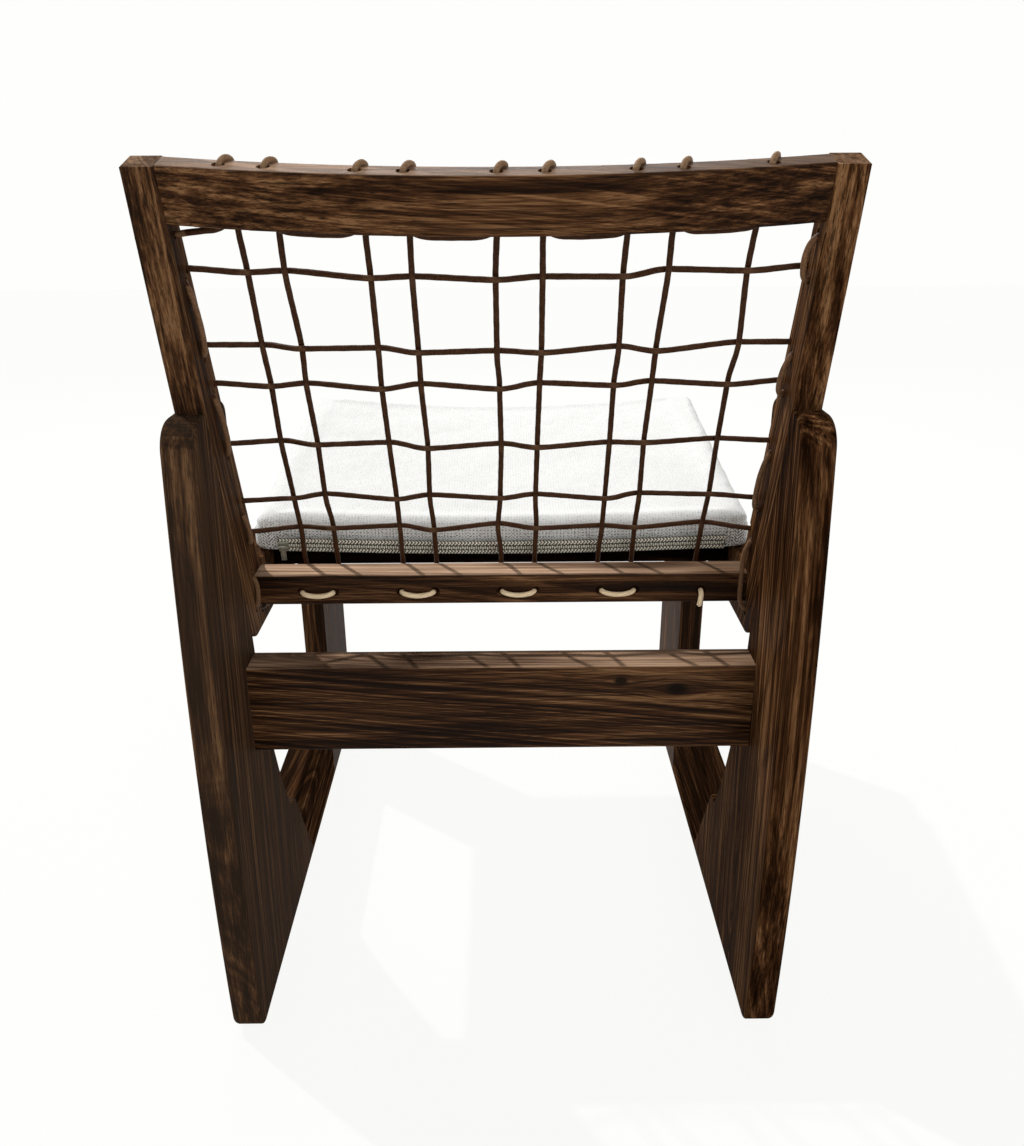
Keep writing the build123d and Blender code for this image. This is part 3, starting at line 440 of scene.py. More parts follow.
# What wood() needs for each board: where its own origin lies, its grain's turn, and so on.
# The sixth column greys a board as a painted sheen, most on the left rear leg and stile.
BOARDS = (
    ("rear_leg_left", (0.31, 0.0, 0.0), LEANING_LEG, 0.024, 0.5, 0.40, 0.001),
    ("rear_leg_right", (-0.17, 0.21, 0.3), LEANING_LEG, 0.022, 0.6, 0.0, 0.001),
    ("sill_left", (0.2, 0.4, 0.1), ALONG_SILL, 0.0, 0.5, 0.1, 0.0),
    ("sill_right", (-0.3, 0.1, 0.0), ALONG_SILL, 0.0, 0.5, 0.1, 0.0),
    ("front_leg_left", (0.1, 0.3, 0.8), (0.0, 0.0, 0.0), 0.0, 0.5, 0.1, 0.01),
    ("front_leg_right", (-0.2, 0.7, 0.4), (0.0, 0.0, 0.0), 0.0, 0.5, 0.1, 0.01),
    ("back_stile_left", (0.24, 0.03, 0.2), ALONG_STILE, 0.050, 0.5, 0.15, 0.002, STILE_TOP_LEVEL),
    ("back_stile_right", (-0.21, 0.17, 0.6), ALONG_STILE, 0.040, 0.5, 0.0, 0.002, STILE_TOP_LEVEL),
    ("seat_side_rail_left", (0.1, 0.2, 0.5), ALONG_SEAT, 0.0, 0.4, 0.1, 0.0),
    ("seat_side_rail_right", (-0.4, 0.2, 0.1), ALONG_SEAT, 0.0, 0.4, 0.1, 0.0),
    ("top_rail", (0.07, 0.29, 0.80), ALONG_X, 0.010, 0.4, 0.0, 0.03, RAIL_TOP_LEVEL),
    ("lower_back_rail", (0.35, 0.12, 0.39), ALONG_X, -0.012, 0.5, 0.0, 0.05, LOWER_RAIL_LEVEL),
    ("front_seat_rail", (0.5, -0.26, 0.36), ALONG_X, 0.0, 0.5, 0.1, 0.0),
    # the rear seat rail is darkened nearly to black, painted shade under the pad
    ("rear_seat_rail", (0.2, 0.05, 0.39), ALONG_X, -0.10, 0.5, 0.0, 0.0),
    (
        "rear_stretcher", (0.0, 0.198, 0.297), ALONG_X, 0.004, 0.8, 0.0, 0.05, STRETCHER_LEVEL,
        STRETCHER_KNOTS,
    ),
)
for node_name, *settings in BOARDS:
    paint([node_name], wood("wood_" + node_name, *settings))


def plain_wood():
    """Pale dowel wood with fine fibres along the pin."""
    r = Recipe("dowel_beech")
    fibre = r.noise(r.stretched(r.local(), 400.0, 400.0), detail=3.0)
    colour = r.ramp(fibre, ((0.3, (0.36, 0.22, 0.11)), (0.7, (0.55, 0.38, 0.22))))
    return r.finish_with(colour, 0.6)


def glide_plastic():
    """Black moulded plastic, slightly scuffed."""
    r = Recipe("glide_black")
    scuff = r.noise(r.local(), detail=4.0, scale=400.0)
    colour = r.ramp(scuff, ((0.35, (0.008, 0.008, 0.008)), (0.75, (0.03, 0.028, 0.026))))
    return r.finish_with(colour, r.level(scuff, 0.3, 0.7, 0.4, 0.65), r.bump(scuff, 0.00005))


paint(["frame_dowels", "lap_dowels"], plain_wood())
paint([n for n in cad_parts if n.startswith("glide_")], glide_plastic())


# ------------------------ mesh building
def new_object(name, mesh, body):
    obj = bpy.data.objects.new(name, mesh)
    bpy.context.scene.collection.objects.link(obj)
    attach(obj, body)
    return obj


def grid_faces(rows, columns, around):
    """The faces over a grid of points: their corners' numbers, and the row and column of each
    face's first corner.  around joins the last column to the first."""
    spans = columns if around else columns - 1
    i, j = np.meshgrid(np.arange(rows - 1), np.arange(spans), indexing="ij")
    k = (j + 1) % columns
    low, high = i * columns, (i + 1) * columns
    quads = np.stack([low + j, low + k, high + k, high + j], -1).reshape(-1, 4)
    return quads, i, j


def grid_mesh(name, points, around, uv):
    """A surface over a grid of points, rows by columns.

    uv is the grid's (u, v) at each corner, with one column more than points where it goes around.
    """
    rows, columns = points.shape[:2]
    quads, i, j = grid_faces(rows, columns, around)
    mesh = bpy.data.meshes.new(name)
    mesh.vertices.add(rows * columns)
    mesh.vertices.foreach_set("co", points.astype(np.float32).ravel())
    mesh.loops.add(quads.size)
    mesh.loops.foreach_set("vertex_index", quads.astype(np.int32).ravel())
    mesh.polygons.add(len(quads))
    mesh.polygons.foreach_set("loop_start", np.arange(0, quads.size, 4, dtype=np.int32))
    layer = mesh.uv_layers.new(name="along")
    corners = np.stack([uv[i, j], uv[i, j + 1], uv[i + 1, j + 1], uv[i + 1, j]], -2)
    layer.data.foreach_set("uv", corners.astype(np.float32).ravel())
    mesh.update(calc_edges=True)
    mesh.shade_smooth()
    return mesh


def weld(mesh):
    """Joins points that lie together, as where a tube's last ring has no width, and points every
    face outwards."""
    work = bmesh.new()
    work.from_mesh(mesh)
    bmesh.ops.remove_doubles(work, verts=work.verts, dist=1e-6)
    bmesh.ops.recalc_face_normals(work, faces=work.faces)
    work.to_mesh(mesh)
    work.free()


def spline_path(route, step):
    """Points a step apart along the smooth NURBS line of second degree led by a route's points."""
    data = bpy.data.curves.new("route", "CURVE")
    data.dimensions = "3D"
    spline = data.splines.new("NURBS")
    spline.points.add(len(route) - 1)
    for point, place in zip(spline.points, route):
        point.co = (*place, 1)
    spline.order_u = 3
    spline.use_endpoint_u = True
    spline.resolution_u = 24
    holder = bpy.data.objects.new("route", data)
    mesh = bpy.data.meshes.new_from_object(holder)
    co = np.empty(len(mesh.vertices) * 3)
    mesh.vertices.foreach_get("co", co)
    co = co.reshape(-1, 3)
    bpy.data.objects.remove(holder)
    bpy.data.curves.remove(data)
    bpy.data.meshes.remove(mesh)
    run = np.concatenate([[0], np.cumsum(np.linalg.norm(np.diff(co, axis=0), axis=1))])
    keep = np.concatenate([[True], np.diff(run) > 1e-7])
    co, run = co[keep], run[keep]
    along = np.linspace(0, run[-1], int(run[-1] / step) + 1)
    return np.stack([np.interp(along, run, co[:, a]) for a in range(3)], 1), along


def steady_frames(path):
    """Two crosswise directions along a path that don't spin: each turns only as the path bends.

    Frames from one fixed direction are corrected by the running sum of the angle by which each
    differs from its neighbour carried over by the smallest turn.
    """
    tangent = np.gradient(path, axis=0)
    tangent /= np.linalg.norm(tangent, axis=1, keepdims=True)
    side = np.cross(tangent, np.array([0.413, 0.597, 0.688]))
    side /= np.linalg.norm(side, axis=1, keepdims=True)
    t0, t1 = tangent[:-1], tangent[1:]
    axis = np.cross(t0, t1)
    cosine = np.sum(t0 * t1, axis=1, keepdims=True)
    n0 = side[:-1]
    carried = n0 * cosine + np.cross(axis, n0)
    carried += axis * np.sum(axis * n0, axis=1, keepdims=True) / (1 + cosine)
    n1 = side[1:]
    angle = np.arctan2(
        np.sum(np.cross(n1, carried) * t1, axis=1), np.sum(n1 * carried, axis=1)
    )
    total = np.concatenate([[0], np.cumsum(angle)])[:, None]
    other = np.cross(tangent, side)
    first = side * np.cos(total) + other * np.sin(total)
    return first, np.cross(tangent, first)


def twisted_cord(name, path, along, tone, sides):
    """A smooth waxed cord of three strands laid up together: a tube whose radius swells and dips
    very slightly three times round, as the cosine of three times the angle plus one turn for every
    pitch along the cord."""
    across, upward = steady_frames(path)
    taper = np.ones(len(path))
    taper[[0, -1]] = 0.0
    theta = np.arange(sides) * 2 * math.pi / sides
    turned = 3 * (theta[None, :] + 2 * math.pi * along[:, None] / TWIST_PITCH / 3)
    uneven = 1 + 0.02 * np.sin(along * 210.0) + 0.015 * np.sin(along * 77.0 + 1.0)
    radius = CORD_RADIUS * (1 - LOBE + LOBE * np.cos(turned)) * (uneven * taper)[:, None]
    theta = theta[None, :, None]
    ring = across[:, None, :] * np.cos(theta) + upward[:, None, :] * np.sin(theta)
    points = path[:, None, :] + radius[..., None] * ring
    v, u = np.meshgrid(along / TWIST_PITCH, np.linspace(0, 1, sides + 1), indexing="ij")
    mesh = grid_mesh(name, points, True, np.stack([u, v], -1))
    shade = mesh.attributes.new("tone", "FLOAT", "POINT")
    shade.data.foreach_set("value", np.repeat(tone, sides).astype(np.float32))
    weld(mesh)
    return mesh


# ------------------------ lacing
RAIL_THICK = 0.022
RAIL_BOW = 0.025
BOW_RADIUS = (INNER_X**2 + RAIL_BOW**2) / (2 * RAIL_BOW)
LOWER_RAIL = (0.137, 0.168)           # its rear and front faces
LOWER_TOP = 0.402
LOWER_HOLE_Z = 0.3855
STILE_SLOPE = math.tan(math.radians(20.55))
ROW_Z = (0.67455, 0.61708, 0.58592, 0.53208, 0.47611, 0.44344)
ROW_DIP = (0.0065, 0.0055, 0.0030, 0.0035, 0.0, 0.0015)
WEAVE = 0.0026                        # how far a cord swings at a crossing
KINK = 0.0055                         # and half the length over which it does
HOLE_DEEP = 0.012
MOUTH_OFF = 0.004                     # a row's point off its hole's mouth
LOOP_OFF = 0.0036                     # a loop's centre off the left stile
RIGHT_LOOP_OFF = 0.0062               # and, standing freer, off the right one
END_LOOP_OFF = 0.0032                 # the seat cord's first loop lies close to it
LOOP_DROP = 0.0095                    # from a row's hole down to its loop's turn
LOOP_BACK = 0.009                     # and rearwards
ROW_BACK = 0.007                      # a row's hole, behind the stile's front edge
SEAT_ROWS = 7
SEAT_ROW_PITCH = 0.040333
FIRST_SEAT_ROW = 0.262                # in front of the foot line
SEAT_CORD_LEVEL = 0.381               # the height its plane has below the pad's rear edge
SEAT_LOOP_RUN = 0.007                 # from a row's hole to its loop's turn, along the rail
FIRST_LOOP_RUN = 0.022                # and the same for the loop behind the lower rail
BEAD_RISE = 0.0018                    # a cord's centre above the top rail
BEHIND_RAIL = 0.1338                  # the runs down the stiles behind the lower rail
ROWS_START_Z, ROWS_END_Z = 0.698, 0.365  # the holes where the rows' cord starts and ends
SEAT_START_Z, SEAT_LOOP_Z = 0.408, 0.371  # and the seat cord's first two
CORD_DARK = ((0.3, (0.014, 0.0048, 0.0018)), (0.7, (0.078, 0.0310, 0.0125)))
CORD_BROWN = ((0.3, (0.13, 0.066, 0.031)), (0.7, (0.28, 0.155, 0.083)))
CORD_PALE = ((0.3, (0.88, 0.64, 0.38)), (0.7, (0.97, 0.80, 0.55)))
CORD_GROOVE_SHADE = (0.02, 0.010, 0.006)    # painted shade between its strands
BROWN_TONE = 0.32                     # 0 is dark, 1 is pale
BEAD_TONE, BEAD_Z = 0.38, 0.733       # over the top rail, so above this height
LOOP_TONE = 0.24                      # in the loops on the stiles
LOOP_NEAR, LOOP_BEHIND = 0.0085, 0.011  # this near a stile, and this far behind its front edge
CROSSING_REACH = 0.0042               # how far a crossing's painted highlight runs
FINE, COARSE = (0.0015, 15), (0.003, 10)  # a tube's steps along the cord, and its sides
wobble = np.random.default_rng(7)
crossing_lift = wobble.normal(0, 0.0011, (len(ROW_Z), len(CORD_X)))
crossing_shift = wobble.normal(0, 0.0011, (len(ROW_Z), len(CORD_X)))


def on_rail(x, depth, height):
    """A point behind the bowed top rail's front face, at a height above its lower edge."""
    bow = RAIL_BOW - BOW_RADIUS + math.sqrt(BOW_RADIUS**2 - x**2)
    back = bow - RAIL_THICK + depth
    lean_y, lean_z = math.sin(RAIL_LEAN), math.cos(RAIL_LEAN)
    y = RAIL_FOOT.y + back * lean_z + height * lean_y
    z = RAIL_FOOT.z - back * lean_y + height * lean_z
    return Vector((x, y, z))


def upright_ends(x):
    """Where an upright leaves the top rail's front arris, and where it meets the lower rail."""
    top = on_rail(x, -CORD_OFF, RAIL_TALL + CORD_OFF)
    foot = Vector((x, fwd(LOWER_RAIL[1] + CORD_OFF), LOWER_TOP + 0.0002))
    return top, foot


def net_normal(x):
    """The direction square to the net, rearwards and up, at an upright."""
    top, foot = upright_ends(x)
    run = (top - foot).normalized()
    return Vector((0, run.z, -run.y))


def crossing(row, k):
    """The middle of the crossing of a row and an upright, in the net's surface."""
    x = CORD_X[k]
    top, foot = upright_ends(x)
    z = ROW_Z[row] - ROW_DIP[row] * (1 - (x / INNER_X) ** 2) + crossing_lift[row][k]
    return foot.lerp(top, (z - foot.z) / (top.z - foot.z)) + Vector((crossing_shift[row][k], 0, 0))


def upright_run(k):
    """One upright from the top rail's underside, slantwise over its top and down to behind the
    lower rail."""
    x = CORD_X[k]
    top, foot = upright_ends(x)
    middle = RAIL_THICK / 2
    run = (foot - top).normalized()
    points = [
        on_rail(x, middle, -CORD_OFF),
        on_rail(x, middle, RAIL_TALL / 2),
        on_rail(x + 0.001, middle - 0.0015, RAIL_TALL + BEAD_RISE),
        on_rail(x - 0.0065, -CORD_OFF, RAIL_TALL + BEAD_RISE),
        on_rail(x - 0.0045, -CORD_OFF, RAIL_TALL - 0.012),
        top + run * 0.045,
    ]
    for row in range(len(ROW_Z)):
        side = -1 if (row + k) % 2 == 0 else 1
        middle_point = crossing(row, k) + net_normal(x) * (side * WEAVE)
        points += [middle_point - run * KINK, middle_point + run * KINK]
    hole = Vector((x, fwd(LOWER_RAIL[1] + CORD_OFF), LOWER_HOLE_Z))
    points += [
        foot - run * 0.017,
        foot,
        hole,
        Vector((x, fwd(sum(LOWER_RAIL) / 2), LOWER_HOLE_Z)),
        Vector((x, fwd(LOWER_RAIL[0] - CORD_OFF), LOWER_HOLE_Z)),
    ]
    return points


def uprights_route():
    """The whole upright cord, from its loose end at the right to the hole in the left stile."""
    last = len(CORD_X) - 1
    end = Vector((CORD_X[last], fwd(LOWER_RAIL[0] - CORD_OFF), LOWER_HOLE_Z))
    points = [end + Vector((0.0015, 0.001, -0.015)), end + Vector((0, 0.0005, -0.007))]
    for k in range(last, -1, -1):
        going_up = (last - k) % 2 == 0
        run = upright_run(k)
        points += run[::-1] if going_up else run
        if k > 0:
            x = (CORD_X[k] + CORD_X[k - 1]) / 2
            if going_up:
                points.append(on_rail(x, RAIL_THICK / 2, -CORD_OFF - 0.0012))
            else:
                points.append(Vector((x, fwd(LOWER_RAIL[0] - CORD_OFF), LOWER_HOLE_Z - 0.0035)))
    points += [
        Vector((INNER_X - 0.010, fwd(0.0385), 0.7000)),
        Vector((INNER_X + HOLE_DEEP, fwd(0.040), 0.6966)),
    ]
    return points


def loop_off(hand):
    """How far a loop's centre stands off the stile, on the left (1) or the right (-1)."""
    return LOOP_OFF if hand > 0 else RIGHT_LOOP_OFF


def stile_front(z):
    """How far a stile's front edge is in front of the foot line at a height."""
    return STILE_TOP[0] + (STILE_TOP[1] - z) * STILE_SLOPE


def stitch(z, hand):
    """A row's turn in a stile: off its hole's mouth, the hole's end, and where the loop turns."""
    mouth = Vector((hand * (INNER_X - MOUTH_OFF), fwd(stile_front(z) - ROW_BACK), z))
    deep = mouth + Vector((hand * (HOLE_DEEP + MOUTH_OFF), 0, 0))
    low = z - LOOP_DROP
    out = Vector((hand * INNER_X, fwd(stile_front(low) - ROW_BACK - LOOP_BACK), low))
    return mouth, deep, deep + (out - deep) * (1 + loop_off(hand) / HOLE_DEEP)


def rows_route():
    """The whole cross cord: six rows woven to and fro and joined by loops on the stiles."""
    hand = -1
    start_y = fwd(stile_front(ROWS_START_Z) - ROW_BACK - LOOP_BACK)
    start = Vector((hand * (INNER_X + HOLE_DEEP), start_y, ROWS_START_Z))
    points = [start, start - Vector((hand * (HOLE_DEEP + loop_off(hand)), 0, 0))]
    points += stitch(ROW_Z[0], hand)[::-1]
    from_left = range(len(CORD_X))
    for row in range(len(ROW_Z)):
        for k in from_left[::-1] if hand < 0 else from_left:
            side = 1 if (row + k) % 2 == 0 else -1
            middle_point = crossing(row, k) + net_normal(CORD_X[k]) * (side * WEAVE)
            along = Vector((-hand * KINK, 0, 0))
            points += [middle_point - along, middle_point + along]
        hand = -hand
        points += stitch(ROW_Z[row], hand)
        if row < len(ROW_Z) - 1:
            points += stitch(ROW_Z[row + 1], hand)[::-1]
    face_x = hand * (INNER_X - RIGHT_LOOP_OFF)
    points += [
        Vector((face_x, fwd(BEHIND_RAIL), LOWER_TOP)),
        Vector((face_x, fwd(BEHIND_RAIL), ROWS_END_Z)),
        Vector((hand * (INNER_X + HOLE_DEEP), fwd(BEHIND_RAIL), ROWS_END_Z)),
    ]
    return points


def seat_stitch(index, hand, way):
    """A seat row's turn in a side rail, with its loop in front (1) or behind (-1)."""
    distance = FIRST_SEAT_ROW + SEAT_ROW_PITCH * index
    z = SEAT_CORD_LEVEL + (distance - PAD_REAR) * math.tan(SEAT_RAKE)
    mouth = Vector((hand * (INNER_X - MOUTH_OFF), fwd(distance), z))
    deep = mouth + Vector((hand * (HOLE_DEEP + MOUTH_OFF), 0, 0))
    out = Vector((hand * INNER_X, fwd(distance + way * SEAT_LOOP_RUN), z - LOOP_DROP))
    return mouth, deep, deep + (out - deep) * (1 + LOOP_OFF / HOLE_DEEP)


def seat_route():
    """The seat cord: a loop behind the lower rail's left end, then seven rows under the pad."""
    hand = 1
    face_x = INNER_X - END_LOOP_OFF
    deep_x = INNER_X + HOLE_DEEP
    deep = Vector((deep_x, fwd(BEHIND_RAIL), SEAT_LOOP_Z))
    out = Vector((INNER_X, fwd(BEHIND_RAIL + FIRST_LOOP_RUN), SEAT_LOOP_Z - LOOP_DROP))
    points = [
        Vector((deep_x, fwd(BEHIND_RAIL), SEAT_START_Z)),
        Vector((face_x, fwd(BEHIND_RAIL), SEAT_START_Z)),
        Vector((face_x, fwd(BEHIND_RAIL), SEAT_LOOP_Z)),
        deep,
        deep + (out - deep) * (1 + LOOP_OFF / HOLE_DEEP),
    ]
    for index in range(SEAT_ROWS):
        points += seat_stitch(index, hand, -1)[::-1]
        hand = -hand
        points += seat_stitch(index, hand, 1)
    return points[:-1]                # the cord ends in its last hole


def painted_highlight_places(cord):
    """The crossings where the rows (0) or the uprights (1) pass over, on the rear of the net, which
    get a painted highlight.
    """
    places = [(row, k) for row in range(len(ROW_Z)) for k in range(len(CORD_X))]
    return np.array([crossing(row, k) for row, k in places if (row + k) % 2 == cord])


def cord_tone(path, painted_highlight_at, highlight_strength):
    """0 where the cord is dark, up to 1 where it is pale: in the loops behind the lower rail, browner
    over the top rail and in the loops on the stiles, and a little so where it bends over a
    crossing, which is a painted highlight."""
    x, y, z = path.T
    behind = (y > fwd(LOWER_RAIL[0] + 0.001)) & (z < LOWER_TOP) & (np.abs(x) < 0.2)
    beside = (np.abs(x) > INNER_X - LOOP_NEAR) & (np.abs(x) < INNER_X)
    beside &= y > fwd(stile_front(z) - LOOP_BEHIND)
    tone = np.where(behind, 1.0, np.where(z > BEAD_Z, BEAD_TONE, 0.0))
    tone = np.where(beside, LOOP_TONE, tone)
    away = np.linalg.norm(path[:, None, :] - painted_highlight_at[None, :, :], axis=2).min(axis=1)
    return tone + highlight_strength * np.exp(-((away / CROSSING_REACH) ** 2))


def cord_fibre():
    """Waxed twisted cord: three strands, each of fine slanting fibres, with painted shade between
    the strands.
    """
    r = Recipe("twisted_cord")
    around, along, _ = r.parts(r.add("UVMap", {}, uv_map="along"))
    lay = r.total(r.product(around, 3.0), along)
    wave = r.math("COSINE", r.product(lay, 2 * math.pi))
    strand = r.level(wave, -1.0, 1.0)
    slant = r.math("SUBTRACT", r.product(around, 9.0), r.product(along, 14.0))
    slanted = r.add("CombineXYZ", {0: slant, 1: r.product(lay, 1.2), 2: 0.0})
    fibre = r.noise(slanted, detail=2.0, scale=1.3)
    patch = r.noise(r.local(), detail=2.0, scale=60.0)
    tone = r.add("Attribute", {}, output=2, attribute_name="tone")
    # the cord's tone, with the painted highlights at the crossings, made a little uneven
    paleness_and_highlight = r.total(tone, r.product(r.math("SUBTRACT", patch, 0.5), 0.10))
    dark, brown, pale = (r.ramp(fibre, stops) for stops in (CORD_DARK, CORD_BROWN, CORD_PALE))
    colour = r.mix(r.level(paleness_and_highlight, 0.0, BROWN_TONE), dark, brown)
    colour = r.mix(r.level(paleness_and_highlight, BROWN_TONE, 1.0), colour, pale)
    # painted shade in the grooves between the strands
    groove_shaded = r.mix(r.level(strand, 0.0, 0.5, 0.14, 0.0), colour, CORD_GROOVE_SHADE)
    height = r.total(r.product(strand, 0.5), r.product(fibre, 0.2))
    roughness = r.level(fibre, 0.3, 0.7, 0.42, 0.54)
    return r.finish_with(groove_shaded, roughness, r.bump(height, 0.0002, 0.5), gloss=0.06)


def lay_cord(name, route, node, fineness, painted_highlight_at, highlight_strength):
    """Dresses one of the lacing's cords and puts it in its solid's place."""
    step, sides = fineness
    path, along = spline_path(route, step)
    mesh = twisted_cord(name, path, along, cord_tone(path, painted_highlight_at, highlight_strength), sides)
    mesh.materials.append(cord_material)
    obj = new_object(name, mesh, "frame")
    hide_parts(node)


cord_material = cord_fibre()
# the last number is the strength of the painted highlight at the crossings
lay_cord("lacing_uprights", uprights_route(), "back_lacing_uprights", FINE, painted_highlight_places(1), 0.06)
lay_cord("lacing_rows", rows_route(), "back_lacing_rows", FINE, painted_highlight_places(0), 0.13)
lay_cord("lacing_seat", seat_route(), "seat_lacing", COARSE, painted_highlight_places(0), 0.0)


# ------------------------ seat pad
PAD_ACROSS = Vector((1, 0, 0))
PAD_BACK = Vector((0, math.cos(SEAT_RAKE), -math.sin(SEAT_RAKE)))
PAD_UP = Vector((0, math.sin(SEAT_RAKE), math.cos(SEAT_RAKE)))
DRAWN_IN = np.array([0.0020, 0.0020, 0.0030])  # the solid's sides, ends and top, before it swells
VOXEL = 0.005
PRESSURE = 4.0
CLOTH_STEPS = 20
MOST_SWELL = 0.0020                   # how far the cloth may move
SEAM_DEPTH, SEAM_HALF = 0.0014, 0.0020
EDGE_FILL = 0.0030                    # how much fuller the top is along its edges
SIDE_SWELL, FRONT_SIDE_SWELL = 0.0026, 0.0034  # the sides outwards, and more so in front
FRONT_HOLLOW, CORNER_RISE = 0.0040, 0.0090
TOP_ROOM = 0.003                      # how far the top may rise past its solid
PAD_WHITE = (0.80, 0.80, 0.785)
FLECK_DARK = (0.11, 0.11, 0.085)
THREAD_DARK = (0.10, 0.10, 0.085)
TWILL_JITTER = 0.0026
TWILL_TURN = 0.0055                   # the slant turns this often across
RIB_PITCH = 0.0031
DASH_PITCH = 0.0027
STITCH_PITCH, STITCH_ROWS = 0.0034, 0.0030
pad_axes = np.array([PAD_ACROSS, PAD_BACK, PAD_UP])


def to_pad(points):
    """From the chair's frame to the pad's axes: across, rearwards from its rear edge, up from its
    base."""
    return (points - np.array(PAD_ORIGIN)) @ pad_axes.T


def from_pad(points):
    """From the pad's axes to the chair's frame."""
    return points @ pad_axes + np.array(PAD_ORIGIN)


def read_points(mesh):
    co = np.empty(len(mesh.vertices) * 3)
    mesh.vertices.foreach_get("co", co)
    return co.reshape(-1, 3)


def write_points(mesh, points):
    mesh.vertices.foreach_set("co", points.astype(np.float32).ravel())
    mesh.update()


def apply_modifiers(obj):
    """Gives an object the mesh that its modifiers make, and takes them off."""
    graph = bpy.context.evaluated_depsgraph_get()
    mesh = bpy.data.meshes.new_from_object(obj.evaluated_get(graph))
    obj.modifiers.clear()
    obj.data = mesh


def noise_bumps(a, b, seed, waves, length):
    """A smooth random field: the mean of sine waves of about one length in random directions."""
    rng = np.random.default_rng(seed)
    total = np.zeros_like(a)
    for _ in range(waves):
        angle = rng.uniform(0, 2 * math.pi)
        k = 2 * math.pi / (length * rng.uniform(0.7, 1.5))
        total += np.sin(k * (a * math.cos(angle) + b * math.sin(angle)) + rng.uniform(0, 6.28))
    return total / waves


def sag(x):
    """How far the pad hangs between the side rails at a distance from its middle."""
    return PAD_SAG * (1 - np.minimum(np.abs(x) / PAD_LEVEL, 1) ** 2) ** 1.2


def draw_in(mesh):
    """Draws the pad's solid in towards its middle and its base, which leaves room to swell."""
    local = to_pad(read_points(mesh))
    size = np.array(PAD_SIZE)
    centre = np.array([0, -size[1] / 2, 0])
    local = centre + (local - centre) * (1 - np.array([2, 2, 1]) * DRAWN_IN / size)
    write_points(mesh, from_pad(local))


def blow_up(obj):
    """Swells the pad a little as cloth with pressure inside.  Its boxing doesn't narrow."""
    start = to_pad(read_points(obj.data))
    cloth = obj.modifiers.new("cloth", "CLOTH")
    cloth.settings.use_pressure = True
    cloth.settings.uniform_pressure_force = PRESSURE
    cloth.settings.effector_weights.gravity = 0.0
    cloth.settings.quality = 5
    for step in range(1, CLOTH_STEPS + 1):
        bpy.context.scene.frame_set(step)
    apply_modifiers(obj)
    bpy.context.scene.frame_set(1)
    moved = to_pad(read_points(obj.data)) - start
    outwards = np.sign(start[:, 0])
    moved[:, 0] = outwards * np.maximum(outwards * moved[:, 0], 0)
    reach = np.linalg.norm(moved, axis=1, keepdims=True)
    moved *= np.minimum(1.0, MOST_SWELL / np.maximum(reach, 1e-9))
    write_points(obj.data, from_pad(start + moved))


def shape_cover(local):
    """Shapes the cover in the pad's own axes: pulled in at its seam, uneven on top and fuller along
    the edges, swelling at its sides, and hollow between its front corners.

    x, y and z are views of local, so each step starts from the one before.
    """
    half_x, half_y = PAD_SIZE.x / 2, PAD_SIZE.y / 2
    x, y, z = local.T
    inward = np.stack([-x / half_x, -(y + half_y) / half_y, np.zeros_like(x)], 1)
    edge_share = np.maximum(np.abs(x) / half_x, np.abs(y + half_y) / half_y)
    near_edge = np.clip((edge_share - 0.90) / 0.08, 0, 1)
    seam = np.exp(-(((z - PAD_EDGE) / SEAM_HALF) ** 2)) * near_edge
    pucker = 1 + 0.35 * noise_bumps(x + y, z, 3, 6, 0.012)
    local += inward * (SEAM_DEPTH * seam * pucker)[:, None]
    top = np.clip((z - 0.018) / 0.010, 0, 1)
    corner = (x / half_x) ** 2
    front = np.clip(-y / PAD_SIZE.y, 0, 1) ** 2
    full = EDGE_FILL * np.exp(-(((edge_share - 0.93) / 0.06) ** 2))
    bumps = 0.0011 * noise_bumps(x, y, 5, 14, 0.075) + 0.0004 * noise_bumps(x, y, 8, 12, 0.022)
    z += top * (bumps + full + front * (CORNER_RISE * corner - FRONT_HOLLOW))
    side = np.clip((np.abs(x) / half_x - 0.84) / 0.16, 0, 1) ** 2
    x += np.sign(x) * side * (SIDE_SWELL + FRONT_SIDE_SWELL * front)
    y[:] = np.minimum(y, -0.0002)
    z[:] = np.clip(z, 0.0, PAD_SIZE.z + TOP_ROOM)


def make_pad():
    """The loose pad, which sags a little in its middle."""
    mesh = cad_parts["seat_pad"].data.copy()
    mesh.name = "pad"
    obj = bpy.data.objects.new("pad", mesh)
    bpy.context.scene.collection.objects.link(obj)
    weld(mesh)
    draw_in(mesh)
    remesh = obj.modifiers.new("voxels", "REMESH")
    remesh.mode = "VOXEL"
    remesh.voxel_size = VOXEL
    apply_modifiers(obj)
    blow_up(obj)
    subdivide = obj.modifiers.new("smooth", "SUBSURF")
    subdivide.levels = subdivide.render_levels = 1
    apply_modifiers(obj)
    obj.data.name = "pad"
    local = to_pad(read_points(obj.data))
    shape_cover(local)
    flat = obj.data.attributes.new("flat", "FLOAT_VECTOR", "POINT")
    flat.data.foreach_set("vector", local.astype(np.float32).ravel())
    local[:, 2] -= sag(local[:, 0])
    write_points(obj.data, from_pad(local))
    obj.data.shade_smooth()
    obj.data.materials.clear()
    obj.data.materials.append(pad_cloth())
    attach(obj, "pad")
    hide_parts("seat_pad")


